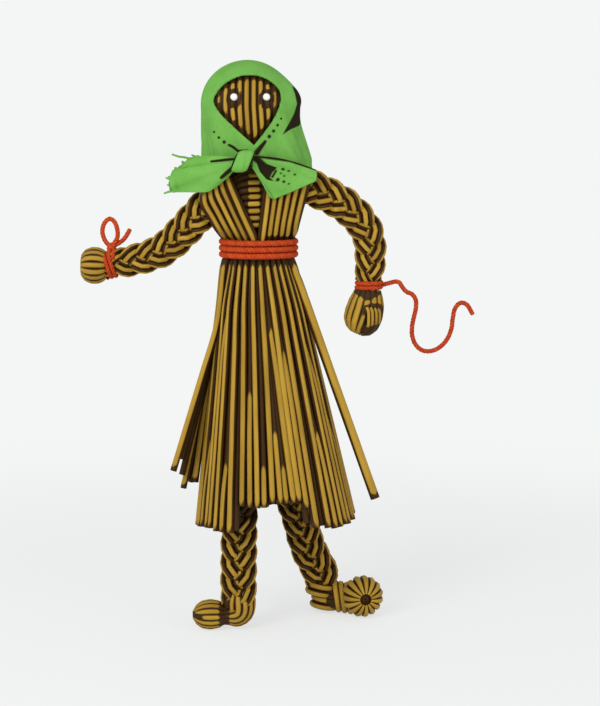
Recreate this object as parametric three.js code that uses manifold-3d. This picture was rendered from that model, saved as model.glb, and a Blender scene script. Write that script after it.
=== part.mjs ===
// Straw doll: bundled, plaited and bound straw with a cloth headscarf, red thread and bead eyes.
// Millimetres, +Z up, the doll faces -Y. Left and right are as seen from the front.
import * as THREE from 'three';
import { mergeVertices } from 'three/addons/utils/BufferGeometryUtils.js';
import Module from 'manifold-3d';

// Straw, thread, cloth and the gaps between pieces.
const STRAW = 3.9;
const STRAY_STRAW = 3.4;
const WAIST_YARN = 2.8;
const WRIST_THREAD = 2.2;
const TURN_GAP = 0.55;
const SCARF_THICKNESS = 1.4;
const CLEARANCE = 0.3;

// Heights: the legs and hem above the floor, and each part of the body above the one that carries it.
const ANKLE_HEIGHT = 16.5;
const HEM_HEIGHT = 58.6;
const HIP_HEIGHT = 186;
const WAIST_RISE = 15.4;
const LEFT_SHOULDER_RISE = 20.1;
const RIGHT_SHOULDER_RISE = 31.1;
const NECK_LENGTH = 3.9;
const KNOT_RISE = 7.7;
const HEAD_WIDEST_RISE = 35;
const HEAD_HEIGHT = 57;

// Waist, skirt and hips.
const WAIST_HALF_WIDTH = 17.6;
const WAIST_HALF_DEPTH = 14;
const WAIST_TURNS = 3;
const PINCH_HALF_HEIGHT = 6.9;
const SKIRT_TOP_DROP = 8.4;
const SKIRT_TOP_HALF_WIDTH = 19.8;
const SKIRT_TOP_HALF_DEPTH = 16.5;
const HEM_HALF_WIDTH = 41.7;
const HEM_HALF_DEPTH = 40;
const HEM_SHIFT = 8.7;
const HEM_RAGGEDNESS = 1.6;
const SKIRT_PANELS = 8;
const STRAWS_PER_PANEL = 7;
const PANEL_GAP_ANGLE = 2.4;
const HIP_RADIUS = 8.5;
const HIP_HALF_LENGTH = 12.4;

// Bodice and the bundle of straws that crosses the chest.
const BODICE_STRAWS = 6;
const BODICE_EASE = 0.8;
const BODICE_BACK = 14.4;
const CROSS_STRAWS = 7;
const CROSS_HALF_HEIGHT = 11;
const CROSS_HALF_DEPTH = 5.2;

// Arms, from the shoulder joints outwards.
const ARM_PLANE = -5;
const ARM_DEPTH_SHARE = 0.92;
const LEFT_SHOULDER_X = -25;
const RIGHT_SHOULDER_X = 26;
const LEFT_UPPER_ARM_RUN = [-24, 0, -20];
const LEFT_FOREARM_RUN = [-29, 0, -8];
const LEFT_FOREARM_SAG = 0.6;
const RIGHT_UPPER_ARM_RUN = [28.4, 0, -18.5];
const RIGHT_FOREARM_RUN = [3.7, 0, -30.8];
const RIGHT_FOREARM_BENDS = [[4.1, 0, -9.7], [4.5, 0, -19.2]];
const UPPER_ARM_RADIUS = 8.6;
const FOREARM_RADIUS = 7.7;
const SHOULDER_BALL = 7;
const ELBOW_BALL = 6.6;
const JOINT_NECK = 5.3;
const JOINT_LIP = 2.5;
const WRIST_RADIUS = 4.8;
const WRIST_TURNS = 2;
const LEFT_HAND_RADIUS = 9.3;
const LEFT_HAND_LENGTH = 13.4;
const RIGHT_HAND_RADIUS = 10;
const RIGHT_HAND_LENGTH = 23;
const LEFT_HAND_LIFT = 0.1;
const RIGHT_HAND_LEAN = 0.16;

// Legs and feet.
const HIP_SPREAD = 8.3;
const LEG_TOP_RADIUS = 7.6;
const LEG_RADIUS = 9.4;
const LEG_PLAIT_PERIOD = 29;
const LEFT_PLAIT_START = 0.1;
const RIGHT_PLAIT_START = 0.45;
const LEFT_ANKLE_X = -10.4;
const LEFT_ANKLE_Y = -9;
const RIGHT_ANKLE_X = 34.5;
const RIGHT_ANKLE_Y = 26;
const LEFT_TOE_RADIUS = 7.9;
const LEFT_TOE_REACH = 16.4;
const RIGHT_TOE_RADIUS = 10.3;
const RIGHT_TOE_REACH = 23.6;
const SOLE_FLAT = 0.5;

// Head, eyes and headscarf.
const HEAD_X = -5.5;
const NECK_X = -3.5;
const NECK_RADIUS = 6.2;
const HEAD_HALF_WIDTH = 22;
const HEAD_HALF_DEPTH = 20;
const HEAD_STRAWS = 32;
const EYE_RADIUS = 1.9;
const EYE_RISE = 40;
const LEFT_EYE_X = -13.4;
const RIGHT_EYE_X = 3.6;
const HOOD_EASE = 0.6;
const HOOD_RIM_HALF_WIDTH = 23.8;
const HOOD_RIM_SHIFT = 4.2;
const HOOD_RIM_FRONT = 14.4;
const HOOD_RIM_BACK = 20.5;
const HOOD_RIM_LEFT_RISE = 9.6;
const HOOD_RIM_FRONT_RISE = 5.5;
const HOOD_POINT_DROP = 17;
const HOOD_FOLD_DEPTH = 1.3;
const HOOD_SIDE_FOLD = 4;
const FACE_HALF_WIDTH = 17.9;
const FACE_TOP_RISE = 52.4;
const FACE_WIDEST_RISE = 41;
const CHIN_RISE = 15.4;
const CHIN_SHIFT = 2.5;
const KNOT_SHIFT = 1.9;
const KNOT_HALF_WIDTH = 5.2;
const KNOT_HALF_DEPTH = 4;
const KNOT_HALF_HEIGHT = 5.8;
const TAIL_FOLD_DEPTH = 1.7;
const LEFT_TAIL_EDGE = [[-39.6, 2.3], [-41.6, -17.3], [-19.6, -16.8]];
const LEFT_TAIL_ROOT = [2, -3];
const LEFT_TAIL_FOLDS = 3;
const RIGHT_TAIL_EDGE = [[37.4, -4.9], [37.8, -11.7], [13.4, -20.7]];
const RIGHT_TAIL_ROOT = [1, -3.5];
const RIGHT_TAIL_FOLDS = 2.5;

const DEGREE = Math.PI / 180;
const FRONT = new THREE.Vector3(0, -1, 0);
const UP = new THREE.Vector3(0, 0, 1);

const wasm = await Module();
wasm.setup();

// Materials, one for each kind of stuff.
const STRAW_COLOUR = 0xbf9230;
const SCARF_COLOUR = 0x77b857;
const THREAD_COLOUR = 0xc84a22;
const BEAD_COLOUR = 0xf3efe6;
const strawMaterial = () => new THREE.MeshStandardMaterial({ color: STRAW_COLOUR, roughness: 0.55 });
const scarfMaterial = () => new THREE.MeshStandardMaterial({ color: SCARF_COLOUR, roughness: 0.9 });
const threadMaterial = () => new THREE.MeshStandardMaterial({ color: THREAD_COLOUR, roughness: 0.85 });
const beadMaterial = () => new THREE.MeshStandardMaterial({ color: BEAD_COLOUR, roughness: 0.25 });

const doll = new THREE.Group();

function addPiece(name, geometry, material) {
  const mesh = new THREE.Mesh(geometry, material);
  mesh.name = name;
  doll.add(mesh);
}

const point = (x, y, z) => new THREE.Vector3(x, y, z);
const mix = (a, b, share) => a + (b - a) * share;

// A value between the keys of a list of [place, value] pairs.
function between(keys, place) {
  const next = keys.findIndex(([at]) => at > place);
  if (next === 0) return keys[0][1];
  if (next < 0) return keys.at(-1)[1];
  const [a, b] = [keys[next - 1], keys[next]];
  return mix(a[1], b[1], (place - a[0]) / (b[0] - a[0]));
}

// Solids for cutting and joining.
function toSolid(geometry) {
  const bare = geometry.clone();
  bare.deleteAttribute('normal');
  bare.deleteAttribute('uv');
  const merged = mergeVertices(bare, 1e-4);
  const vertProperties = new Float32Array(merged.attributes.position.array);
  const triVerts = new Uint32Array(merged.index.array);
  return new wasm.Manifold(new wasm.Mesh({ numProp: 3, vertProperties, triVerts }));
}

function toGeometry(solid) {
  const mesh = solid.getMesh();
  const geometry = new THREE.BufferGeometry();
  geometry.setAttribute('position', new THREE.BufferAttribute(mesh.vertProperties, 3));
  geometry.setIndex(new THREE.BufferAttribute(mesh.triVerts, 1));
  return geometry;
}

function joined(...geometries) {
  return toGeometry(geometries.map(toSolid).reduce((whole, next) => whole.add(next)));
}

function cut(geometry, ...cutters) {
  return toGeometry(cutters.map(toSolid).reduce((whole, next) => whole.subtract(next), toSolid(geometry)));
}

function ball(centre, radius) {
  return new THREE.SphereGeometry(radius, 14, 8).translate(centre.x, centre.y, centre.z);
}

// End caps of a loft: a fan round the middle of a ring, or rungs between a strip's two faces.
function fanCap(ring, first, positions, faces) {
  const middle = ring.reduce((sum, p) => sum.add(p), point(0, 0, 0)).divideScalar(ring.length);
  const centre = positions.length / 3;
  positions.push(middle.x, middle.y, middle.z);
  ring.forEach((_, i) => faces.push(centre, first + (i + 1) % ring.length, first + i));
}

function rungCap(ring, first, positions, faces) {
  const last = first + ring.length - 1;
  for (let i = 0; i + 1 < ring.length / 2; i++) {
    faces.push(first + i, last - i - 1, first + i + 1);
    faces.push(first + i, last - i, last - i - 1);
  }
}

// A closed body through rings that all have the same number of points.
function loft(rings, cap = fanCap) {
  const count = rings[0].length;
  const positions = rings.flat().flatMap((p) => [p.x, p.y, p.z]);
  const faces = [];
  for (let k = 0; k + 1 < rings.length; k++) {
    for (let i = 0; i < count; i++) {
      const a = k * count + i;
      const b = k * count + (i + 1) % count;
      faces.push(a, b, b + count, a, b + count, a + count);
    }
  }
  const startFaces = [];
  cap(rings[0], 0, positions, startFaces);
  const endFaces = [];
  cap(rings.at(-1), (rings.length - 1) * count, positions, endFaces);
  faces.push(...startFaces, ...endFaces.reverse());
  const geometry = new THREE.BufferGeometry();
  geometry.setAttribute('position', new THREE.Float32BufferAttribute(positions, 3));
  geometry.setIndex(signedVolume(positions, faces) < 0 ? faces.reverse() : faces);
  return geometry;
}

function signedVolume(positions, faces) {
  const corner = (i) => new THREE.Vector3().fromArray(positions, 3 * i);
  let volume = 0;
  for (let i = 0; i < faces.length; i += 3) {
    const normal = corner(faces[i + 1]).cross(corner(faces[i + 2]));
    volume += corner(faces[i]).dot(normal) / 6;
  }
  return volume;
}

// A bundle that swells and tapers: stations give a place, a half-width across it and a half-depth along Y.
const station = (at, across, deep = across * ARM_DEPTH_SHARE) => ({ at, across, deep });

function bundle(stations, sides = 12, stepsPerSpan = 2) {
  const path = new THREE.CatmullRomCurve3(stations.map((s) => s.at));
  const sizes = new THREE.CatmullRomCurve3(stations.map((s) => point(s.across, s.deep, 0)));
  const steps = (stations.length - 1) * stepsPerSpan;
  const rings = [];
  for (let k = 0; k <= steps; k++) {
    const middle = path.getPoint(k / steps);
    const size = sizes.getPoint(k / steps);
    const across = path.getTangent(k / steps).cross(FRONT).normalize();
    const deep = path.getTangent(k / steps).cross(across).normalize();
    rings.push(Array.from({ length: sides }, (_, i) => {
      const angle = (i / sides) * 2 * Math.PI;
      const side = across.clone().multiplyScalar(size.x * Math.cos(angle));
      return middle.clone().add(side).addScaledVector(deep, size.y * Math.sin(angle));
    }));
  }
  return loft(rings);
}

// A row of straws side by side as one ribbed strip. Each row gives every straw's middle and outward side.
const VALLEY_SHARE = 0.1;

function strawStrip(rows) {
  const rings = rows.map(({ middles, outs }) => {
    const face = [];
    const back = [];
    const lay = (middle, out, height) => {
      face.push(middle.clone().addScaledVector(out, height));
      back.unshift(middle.clone().addScaledVector(out, -STRAW / 2));
    };
    const last = middles.length - 1;
    for (let i = 0; i <= last + 1; i++) {
      const [a, b] = [Math.max(i - 1, 0), Math.min(i, last)];
      const seam = middles[a].clone().lerp(middles[b], 0.5);
      if (i === 0) seam.addScaledVector(middles[1], -0.5).addScaledVector(middles[0], 0.5);
      if (i === last + 1) seam.addScaledVector(middles[last - 1], -0.5).addScaledVector(middles[last], 0.5);
      lay(seam, outs[a].clone().add(outs[b]).normalize(), STRAW * VALLEY_SHARE);
      if (i <= last) lay(middles[i], outs[i], STRAW / 2);
    }
    return [...face, ...back];
  });
  return loft(rings, rungCap);
}

// A free or wound tube along a curve.
function roundSection(radius, sides) {
  const corners = Array.from({ length: sides }, (_, i) => {
    const angle = (i / sides) * 2 * Math.PI;
    return new THREE.Vector2(radius * Math.cos(angle), radius * Math.sin(angle));
  });
  return new THREE.Shape(corners);
}

function tube(points, diameter, steps, sides = 8) {
  const extrudePath = new THREE.CatmullRomCurve3(points);
  return new THREE.ExtrudeGeometry(roundSection(diameter / 2, sides), { extrudePath, steps });
}

// Thread wound in level turns round an oval, with straight ends one thread long.
const TURN_STEPS = 24;
const THREAD_SIDES = 6;

function winding(name, turns, thread, halfWidth, halfDepth, startAngle) {
  const pitch = thread + TURN_GAP;
  const steps = Math.round(turns * TURN_STEPS);
  const rings = [];
  for (let k = -1; k <= steps + 1; k++) {
    const onOval = Math.min(Math.max(k, 0), steps);
    const angle = startAngle + (onOval / TURN_STEPS) * 2 * Math.PI;
    const out = point(Math.cos(angle) / halfWidth, Math.sin(angle) / halfDepth, 0).normalize();
    const along = point(-out.y, out.x, 0);
    const rise = (onOval / TURN_STEPS - turns / 2) * pitch;
    const middle = point(halfWidth * Math.cos(angle), halfDepth * Math.sin(angle), rise);
    middle.addScaledVector(along, (k - onOval) * thread);
    rings.push(Array.from({ length: THREAD_SIDES }, (_, i) => {
      const turn = (i / THREAD_SIDES) * 2 * Math.PI;
      return middle.clone()
        .addScaledVector(out, (thread / 2) * Math.cos(turn))
        .addScaledVector(UP, (thread / 2) * Math.sin(turn));
    }));
  }
  console.log(`${name}: least gap to itself ${leastGap(rings).toFixed(2)} mm`);
  return loft(rings);
}

function leastGap(rings) {
  let least = Infinity;
  for (let a = 0; a < rings.length; a++) {
    for (let b = a + TURN_STEPS / 2; b < rings.length; b++) {
      for (const p of rings[a]) {
        for (const q of rings[b]) least = Math.min(least, p.distanceTo(q));
      }
    }
  }
  return least;
}

// Places that several pieces share, from the hips up.
const waistZ = HIP_HEIGHT + WAIST_RISE;
const leftShoulder = point(LEFT_SHOULDER_X, ARM_PLANE, waistZ + LEFT_SHOULDER_RISE);
const leftElbow = leftShoulder.clone().add(point(...LEFT_UPPER_ARM_RUN));
const leftWrist = leftElbow.clone().add(point(...LEFT_FOREARM_RUN));
const rightShoulder = point(RIGHT_SHOULDER_X, ARM_PLANE, waistZ + RIGHT_SHOULDER_RISE);
const rightElbow = rightShoulder.clone().add(point(...RIGHT_UPPER_ARM_RUN));
const rightWrist = rightElbow.clone().add(point(...RIGHT_FOREARM_RUN));
const armDepth = UPPER_ARM_RADIUS * ARM_DEPTH_SHARE;
const bodiceInside = armDepth - ARM_PLANE + BODICE_EASE;
const bodiceFront = bodiceInside + STRAW / 2;
const shoulderSpan = rightShoulder.x - leftShoulder.x;
const crossLine = (x) => mix(leftShoulder.z, rightShoulder.z, (x - leftShoulder.x) / shoulderSpan);
const ridgeOver = (z, half) => z + half + BODICE_EASE + STRAW / 2;
const neckZ = crossLine(NECK_X) + CROSS_HALF_HEIGHT + NECK_LENGTH;
const knotZ = neckZ + KNOT_RISE;
const eyeZ = neckZ + EYE_RISE;
const headWidestZ = neckZ + HEAD_WIDEST_RISE;
const headTopZ = neckZ + HEAD_HEIGHT;

// The skirt is a cone of straight straws, so any height gives an oval.
function skirtOval(z) {
  const top = waistZ - SKIRT_TOP_DROP;
  const share = (top - z) / (top - HEM_HEIGHT);
  return {
    x: HEM_SHIFT * share,
    halfWidth: mix(SKIRT_TOP_HALF_WIDTH, HEM_HALF_WIDTH, share),
    halfDepth: mix(SKIRT_TOP_HALF_DEPTH, HEM_HALF_DEPTH, share),
  };
}

const waistOval = { x: 0, halfWidth: WAIST_HALF_WIDTH, halfDepth: WAIST_HALF_DEPTH };

function onOval(oval, degrees, z, lift = 0) {
  const angle = degrees * DEGREE;
  const halfWidth = oval.halfWidth + lift;
  const halfDepth = oval.halfDepth + lift;
  return point(oval.x + halfWidth * Math.cos(angle), halfDepth * Math.sin(angle), z);
}

function ovalOut(oval, degrees) {
  const angle = degrees * DEGREE;
  return point(Math.cos(angle) / oval.halfWidth, Math.sin(angle) / oval.halfDepth, 0).normalize();
}

// Head: a folded bundle with a straw to each rib, pinched to the neck.
function headSize(z, half) {
  const neck = NECK_RADIUS;
  if (z >= headWidestZ) {
    const rise = (z - headWidestZ) / (headTopZ - headWidestZ);
    return half * Math.sqrt(Math.max(1 - rise * rise, 0));
  }
  return mix(neck, half, Math.sin(((z - neckZ) / (headWidestZ - neckZ)) * 90 * DEGREE));
}

function headMiddle(z) {
  return mix(NECK_X, HEAD_X, Math.min((z - neckZ) / (headWidestZ - neckZ), 1));
}

const HEAD_LEVELS = [0, 0.1, 0.24, 0.4, 0.61, 0.76, 0.88, 0.96, 0.995];
const HEAD_RIB = 0.9;

function headBundle() {
  const rings = HEAD_LEVELS.map((level) => {
    const z = mix(neckZ, headTopZ, level);
    return Array.from({ length: 2 * HEAD_STRAWS }, (_, i) => {
      const angle = ((i + 0.5) / HEAD_STRAWS) * Math.PI;
      const rib = i % 2 ? HEAD_RIB * Math.min(headSize(z, 1), 1) : 0;
      const x = headMiddle(z) + (headSize(z, HEAD_HALF_WIDTH) - rib) * Math.cos(angle);
      return point(x, (headSize(z, HEAD_HALF_DEPTH) - rib) * Math.sin(angle), z);
    });
  });
  return loft(rings);
}

function eyePlace(x) {
  const across = (x - headMiddle(eyeZ)) / headSize(eyeZ, HEAD_HALF_WIDTH);
  return point(x, -headSize(eyeZ, HEAD_HALF_DEPTH) * Math.sqrt(1 - across * across), eyeZ);
}

const eyes = { left_eye: eyePlace(LEFT_EYE_X), right_eye: eyePlace(RIGHT_EYE_X) };
const eyeSockets = Object.values(eyes).map((place) => ball(place, EYE_RADIUS + CLEARANCE));
addPiece('head_bundle', cut(headBundle(), ...eyeSockets), strawMaterial());
Object.entries(eyes).forEach(([name, place]) => addPiece(name, ball(place, EYE_RADIUS), beadMaterial()));

// Neck tie: a flat band of thread, hidden under the scarf.
const NECK_TIE_BOTTOM = 1.2;
const NECK_TIE_HEIGHT = 4.4;
const neckTieTop = neckZ + NECK_TIE_BOTTOM + NECK_TIE_HEIGHT;
const neckTieInside = headSize(neckTieTop, HEAD_HALF_WIDTH) + 2 * CLEARANCE;
const neckTieOutside = neckTieInside + WRIST_THREAD;

function neckTie() {
  const corner = (r, up) => new THREE.Vector2(r, up);
  const inner = [corner(neckTieInside, NECK_TIE_HEIGHT), corner(neckTieInside, 0)];
  const outer = [corner(neckTieOutside, 0), corner(neckTieOutside, NECK_TIE_HEIGHT)];
  const ring = new THREE.LatheGeometry([inner[1], ...outer, ...inner], 20).rotateX(Math.PI / 2);
  return ring.translate(headMiddle(neckTieTop), 0, neckZ + NECK_TIE_BOTTOM);
}

addPiece('neck_tie', neckTie(), threadMaterial());

// Headscarf hood: a cloth shell round the head that hangs to a point at the back, with a face opening.
const HOOD_SIDES = 36;
const HOOD_DROPS = [0.01, 0.045, 0.1, 0.18, 0.28, 0.41, 0.55, 0.7, 0.85, 1];
const HOOD_FOLDS = 8;
const SIDE_FOLD_ANGLE = -12;
const SIDE_FOLD_SPREAD = 15;
const SIDE_FOLD_HEIGHT = 9;
const rightRidge = ridgeOver(rightShoulder.z, UPPER_ARM_RADIUS);
const hoodRimRight = rightRidge + STRAW / 2 + 3 * CLEARANCE;
const hoodRimLeft = neckZ + HOOD_RIM_LEFT_RISE;
const hoodRimFront = neckZ + HOOD_RIM_FRONT_RISE;
const HOOD_RIM = [
  [-90, hoodRimFront], [0, hoodRimRight], [40, hoodRimRight], [90, neckZ - HOOD_POINT_DROP],
  [140, hoodRimLeft], [180, hoodRimLeft], [270, hoodRimFront],
];

function hoodHalf(z, half, rim, lift) {
  if (z >= headWidestZ) {
    const rise = (z - headWidestZ) / (headTopZ + lift - headWidestZ);
    return (half + lift) * Math.sqrt(Math.max(1 - rise * rise, 0));
  }
  const drop = (headWidestZ - z) / (headWidestZ - hoodRimFront);
  return mix(half + lift, rim + lift, Math.min(drop, 1));
}

function hoodPoint(degrees, z, lift) {
  const angle = degrees * DEGREE;
  const slack = Math.min(Math.max((headWidestZ - z) / (headWidestZ - knotZ), 0), 1);
  const away = (degrees - SIDE_FOLD_ANGLE) / SIDE_FOLD_SPREAD;
  const level = (z - headWidestZ) / SIDE_FOLD_HEIGHT;
  const sideFold = HOOD_SIDE_FOLD * Math.exp(-away * away - level * level);
  const fold = HOOD_FOLD_DEPTH * slack * (1 + Math.cos(HOOD_FOLDS * angle)) + sideFold;
  const depthRim = Math.sin(angle) < 0 ? HOOD_RIM_FRONT : HOOD_RIM_BACK;
  const halfWidth = hoodHalf(z, HEAD_HALF_WIDTH, HOOD_RIM_HALF_WIDTH, lift) + fold;
  const halfDepth = hoodHalf(z, HEAD_HALF_DEPTH, depthRim, lift) + fold;
  const middle = HEAD_X + HOOD_RIM_SHIFT * slack;
  return point(middle + halfWidth * Math.cos(angle), halfDepth * Math.sin(angle), z);
}

function hoodBody(lift, overhang) {
  const top = headTopZ + lift;
  const degreesAt = (i) => (i / HOOD_SIDES) * 360 - 90;
  const ringAt = (heightAt) => Array.from({ length: HOOD_SIDES }, (_, i) => {
    return hoodPoint(degreesAt(i), heightAt(degreesAt(i)), lift);
  });
  const rings = HOOD_DROPS.map((share) => ringAt((degrees) => mix(top, between(HOOD_RIM, degrees), share)));
  if (overhang > 0) rings.push(ringAt((degrees) => between(HOOD_RIM, degrees) - overhang));
  return loft(rings);
}

const FACE_TOP_ROUND = 10;
const FACE_SIDE_ROUND = 7;
const FACE_CHEEK = 9;
const CHIN_HALF_WIDTH = 6;
const CHIN_ROUND = 5;

function faceOpening() {
  const shape = new THREE.Shape();
  const chin = HEAD_X + CHIN_SHIFT;
  const [left, right] = [HEAD_X - FACE_HALF_WIDTH, HEAD_X + FACE_HALF_WIDTH];
  const [top, widest, bottom] = [FACE_TOP_RISE, FACE_WIDEST_RISE, CHIN_RISE].map((rise) => neckZ + rise);
  const [brow, cheek] = [widest + FACE_SIDE_ROUND, widest - FACE_CHEEK];
  const jaw = bottom + CHIN_ROUND;
  shape.moveTo(HEAD_X, top);
  shape.bezierCurveTo(HEAD_X - FACE_TOP_ROUND, top, left, brow, left, widest);
  shape.bezierCurveTo(left, cheek, chin - CHIN_HALF_WIDTH, jaw, chin, bottom);
  shape.bezierCurveTo(chin + CHIN_HALF_WIDTH, jaw, right, cheek, right, widest);
  shape.bezierCurveTo(right, brow, HEAD_X + FACE_TOP_ROUND, top, HEAD_X, top);
  const depth = 2 * HEAD_HALF_DEPTH;
  const prism = new THREE.ExtrudeGeometry(shape, { depth, bevelEnabled: false, curveSegments: 6 });
  return prism.rotateX(Math.PI / 2);
}

const HOOD_CUT_BELOW = 6;
const hoodOutside = hoodBody(HOOD_EASE + SCARF_THICKNESS, 0);
const hoodInside = hoodBody(HOOD_EASE, HOOD_CUT_BELOW);
const hood = cut(hoodOutside, hoodInside, faceOpening());
addPiece('scarf_hood', hood, scarfMaterial());

// Knot under the chin, and the two ends of the scarf fanning out of it.
const scarfFront = -hoodPoint(-90, knotZ, HOOD_EASE + SCARF_THICKNESS).y;
const knotPlace = point(HEAD_X - KNOT_SHIFT, -(scarfFront + CLEARANCE + KNOT_HALF_DEPTH), knotZ);

function scarfKnot() {
  const lump = new THREE.SphereGeometry(1, 14, 10);
  lump.scale(KNOT_HALF_WIDTH, KNOT_HALF_DEPTH, KNOT_HALF_HEIGHT);
  return lump.translate(knotPlace.x, knotPlace.y, knotPlace.z);
}

const TAIL_ROWS = [0, 0.2, 0.4, 0.6, 0.8, 1];
const TAIL_COLUMNS = 9;

function scarfTail(rootTop, rootBottom, outline, folds) {
  const edge = new THREE.CurvePath();
  outline.slice(1).forEach((p, i) => edge.add(new THREE.LineCurve3(outline[i], p)));
  const rings = TAIL_ROWS.map((row) => {
    const face = [];
    const back = [];
    for (let i = 0; i < TAIL_COLUMNS; i++) {
      const share = i / (TAIL_COLUMNS - 1);
      const p = rootTop.clone().lerp(rootBottom, share).lerp(edge.getPoint(share), row);
      p.y -= TAIL_FOLD_DEPTH * row * (1 - Math.cos(2 * Math.PI * folds * share)) / 2;
      face.push(p.clone().addScaledVector(FRONT, SCARF_THICKNESS));
      back.unshift(p);
    }
    return [...face, ...back];
  });
  return loft(rings, rungCap);
}

const tailPlane = -(bodiceFront + STRAW / 2 + CLEARANCE);
const tailEdge = (edge) => edge.map(([x, z]) => point(knotPlace.x + x, tailPlane, knotZ + z));
const knotLeft = knotPlace.x - KNOT_HALF_WIDTH - CLEARANCE;
const knotRight = knotPlace.x + KNOT_HALF_WIDTH + CLEARANCE;
const tailRoot = (x, root) => root.map((rise) => point(x, knotPlace.y, knotZ + rise));
const leftRoot = tailRoot(knotLeft, LEFT_TAIL_ROOT);
const leftTail = scarfTail(...leftRoot, tailEdge(LEFT_TAIL_EDGE), LEFT_TAIL_FOLDS);
const rightRoot = tailRoot(knotRight, RIGHT_TAIL_ROOT);
const rightTail = scarfTail(...rightRoot, tailEdge(RIGHT_TAIL_EDGE), RIGHT_TAIL_FOLDS);
addPiece('scarf_knot', scarfKnot(), scarfMaterial());
addPiece('scarf_left_tail', leftTail, scarfMaterial());
addPiece('scarf_right_tail', rightTail, scarfMaterial());

// Cross bundle: level straws over the chest, necked at each end to a ball that carries an arm.
const NECK_RUN = 6;
const CROSS_BODY_X = 12;
const CROSS_RIB_X = 16;
const CROSS_RIB_NARROW = 0.62;
const CROSS_RIB_ROUND = 5.6;

function crossBundle() {
  const inwards = rightShoulder.clone().sub(leftShoulder).normalize();
  const body = bundle([
    station(leftShoulder, JOINT_NECK, JOINT_NECK),
    station(leftShoulder.clone().addScaledVector(inwards, NECK_RUN), JOINT_NECK, JOINT_NECK),
    station(point(-CROSS_BODY_X, ARM_PLANE, crossLine(-CROSS_BODY_X)), CROSS_HALF_HEIGHT, CROSS_HALF_DEPTH),
    station(point(CROSS_BODY_X, ARM_PLANE, crossLine(CROSS_BODY_X)), CROSS_HALF_HEIGHT, CROSS_HALF_DEPTH),
    station(rightShoulder.clone().addScaledVector(inwards, -NECK_RUN), JOINT_NECK, JOINT_NECK),
    station(rightShoulder, JOINT_NECK, JOINT_NECK),
  ]);
  const ribFront = -(bodiceInside - CLEARANCE - STRAW / 2);
  const rows = [-CROSS_RIB_X, -CROSS_RIB_X / 2, CROSS_RIB_X / 2, CROSS_RIB_X].map((x) => {
    const atEnd = Math.abs(x) === CROSS_RIB_X;
    const half = CROSS_HALF_HEIGHT * (atEnd ? CROSS_RIB_NARROW : 1);
    const middles = Array.from({ length: CROSS_STRAWS }, (_, i) => {
      const up = ((i + 0.5) / CROSS_STRAWS) * 2 - 1;
      const front = ribFront + CROSS_RIB_ROUND * up ** 4;
      return point(x, atEnd ? ARM_PLANE - STRAW / 2 : front, crossLine(x) + half * up);
    });
    return { middles, outs: middles.map(() => FRONT.clone()) };
  });
  const balls = [leftShoulder, rightShoulder].map((place) => ball(place, SHOULDER_BALL));
  return joined(body, strawStrip(rows), ...balls);
}

const crossBody = crossBundle();
addPiece('arm_bundle', crossBody, strawMaterial());

// Body bundle: from the neck down behind the cross bundle to the hips, shaped round both.
const coreBack = BODICE_BACK - STRAW / 2 - CLEARANCE;
const coreInset = STRAW + 3 * CLEARANCE;
const coreWaist = [WAIST_HALF_WIDTH - coreInset, WAIST_HALF_DEPTH - coreInset];
const coreFront = ARM_PLANE + CROSS_HALF_DEPTH + CLEARANCE;
const CHEST_HALF_WIDTH = 15;
const CORE_HIP_RISE = 1;
const CORE_WAIST_SPAN = [-4, 10];
const CORE_CHEST_SPAN = [-8, 4];
const CORE_NECK_RUN = 5;

function hipRoll(radius, halfLength) {
  const roll = new THREE.CylinderGeometry(radius, radius, 2 * halfLength, 24);
  return roll.rotateZ(Math.PI / 2).translate(0, 0, HIP_HEIGHT);
}

function bodyBundle() {
  const chestMiddle = (coreBack + coreFront) / 2;
  const chestHalf = (coreBack - coreFront) / 2;
  const chest = (rightShoulder.z + leftShoulder.z) / 2;
  const trunk = bundle([
    station(point(0, 0, HIP_HEIGHT + CORE_HIP_RISE), ...coreWaist),
    ...CORE_WAIST_SPAN.map((rise) => station(point(0, 0, waistZ + rise), ...coreWaist)),
    ...CORE_CHEST_SPAN.map((rise) => {
      return station(point(NECK_X / 2, chestMiddle, chest + rise), CHEST_HALF_WIDTH, chestHalf);
    }),
    station(point(NECK_X, 0, neckZ - CORE_NECK_RUN), NECK_RADIUS, NECK_RADIUS),
    station(point(NECK_X, 0, neckZ - 2 * CLEARANCE), NECK_RADIUS, NECK_RADIUS),
  ], 14, 1);
  const chestBox = new THREE.Box3().setFromBufferAttribute(crossBody.attributes.position);
  const reach = chestBox.getSize(point(0, 0, 0)).multiplyScalar(0.5).addScalar(CLEARANCE);
  const chestCentre = chestBox.getCenter(point(0, 0, 0));
  const room = new THREE.BoxGeometry(2 * reach.x, reach.y, 2 * reach.z);
  room.translate(chestCentre.x, coreFront - reach.y / 2, chestCentre.z);
  const swollenCross = bundle([
    station(leftShoulder, SHOULDER_BALL + CLEARANCE),
    station(rightShoulder, SHOULDER_BALL + CLEARANCE),
  ]);
  return cut(trunk, hipRoll(HIP_RADIUS + CLEARANCE, 2 * HIP_HALF_LENGTH), room, swollenCross);
}

addPiece('body_bundle', bodyBundle(), strawMaterial());
addPiece('leg_bundle', hipRoll(HIP_RADIUS, HIP_HALF_LENGTH), strawMaterial());

// Bodice: straws from the waist over each shoulder, front and back halves meeting on the ridge.
const row = (inner, outer, out) => ({ inner, outer, out });

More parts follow.
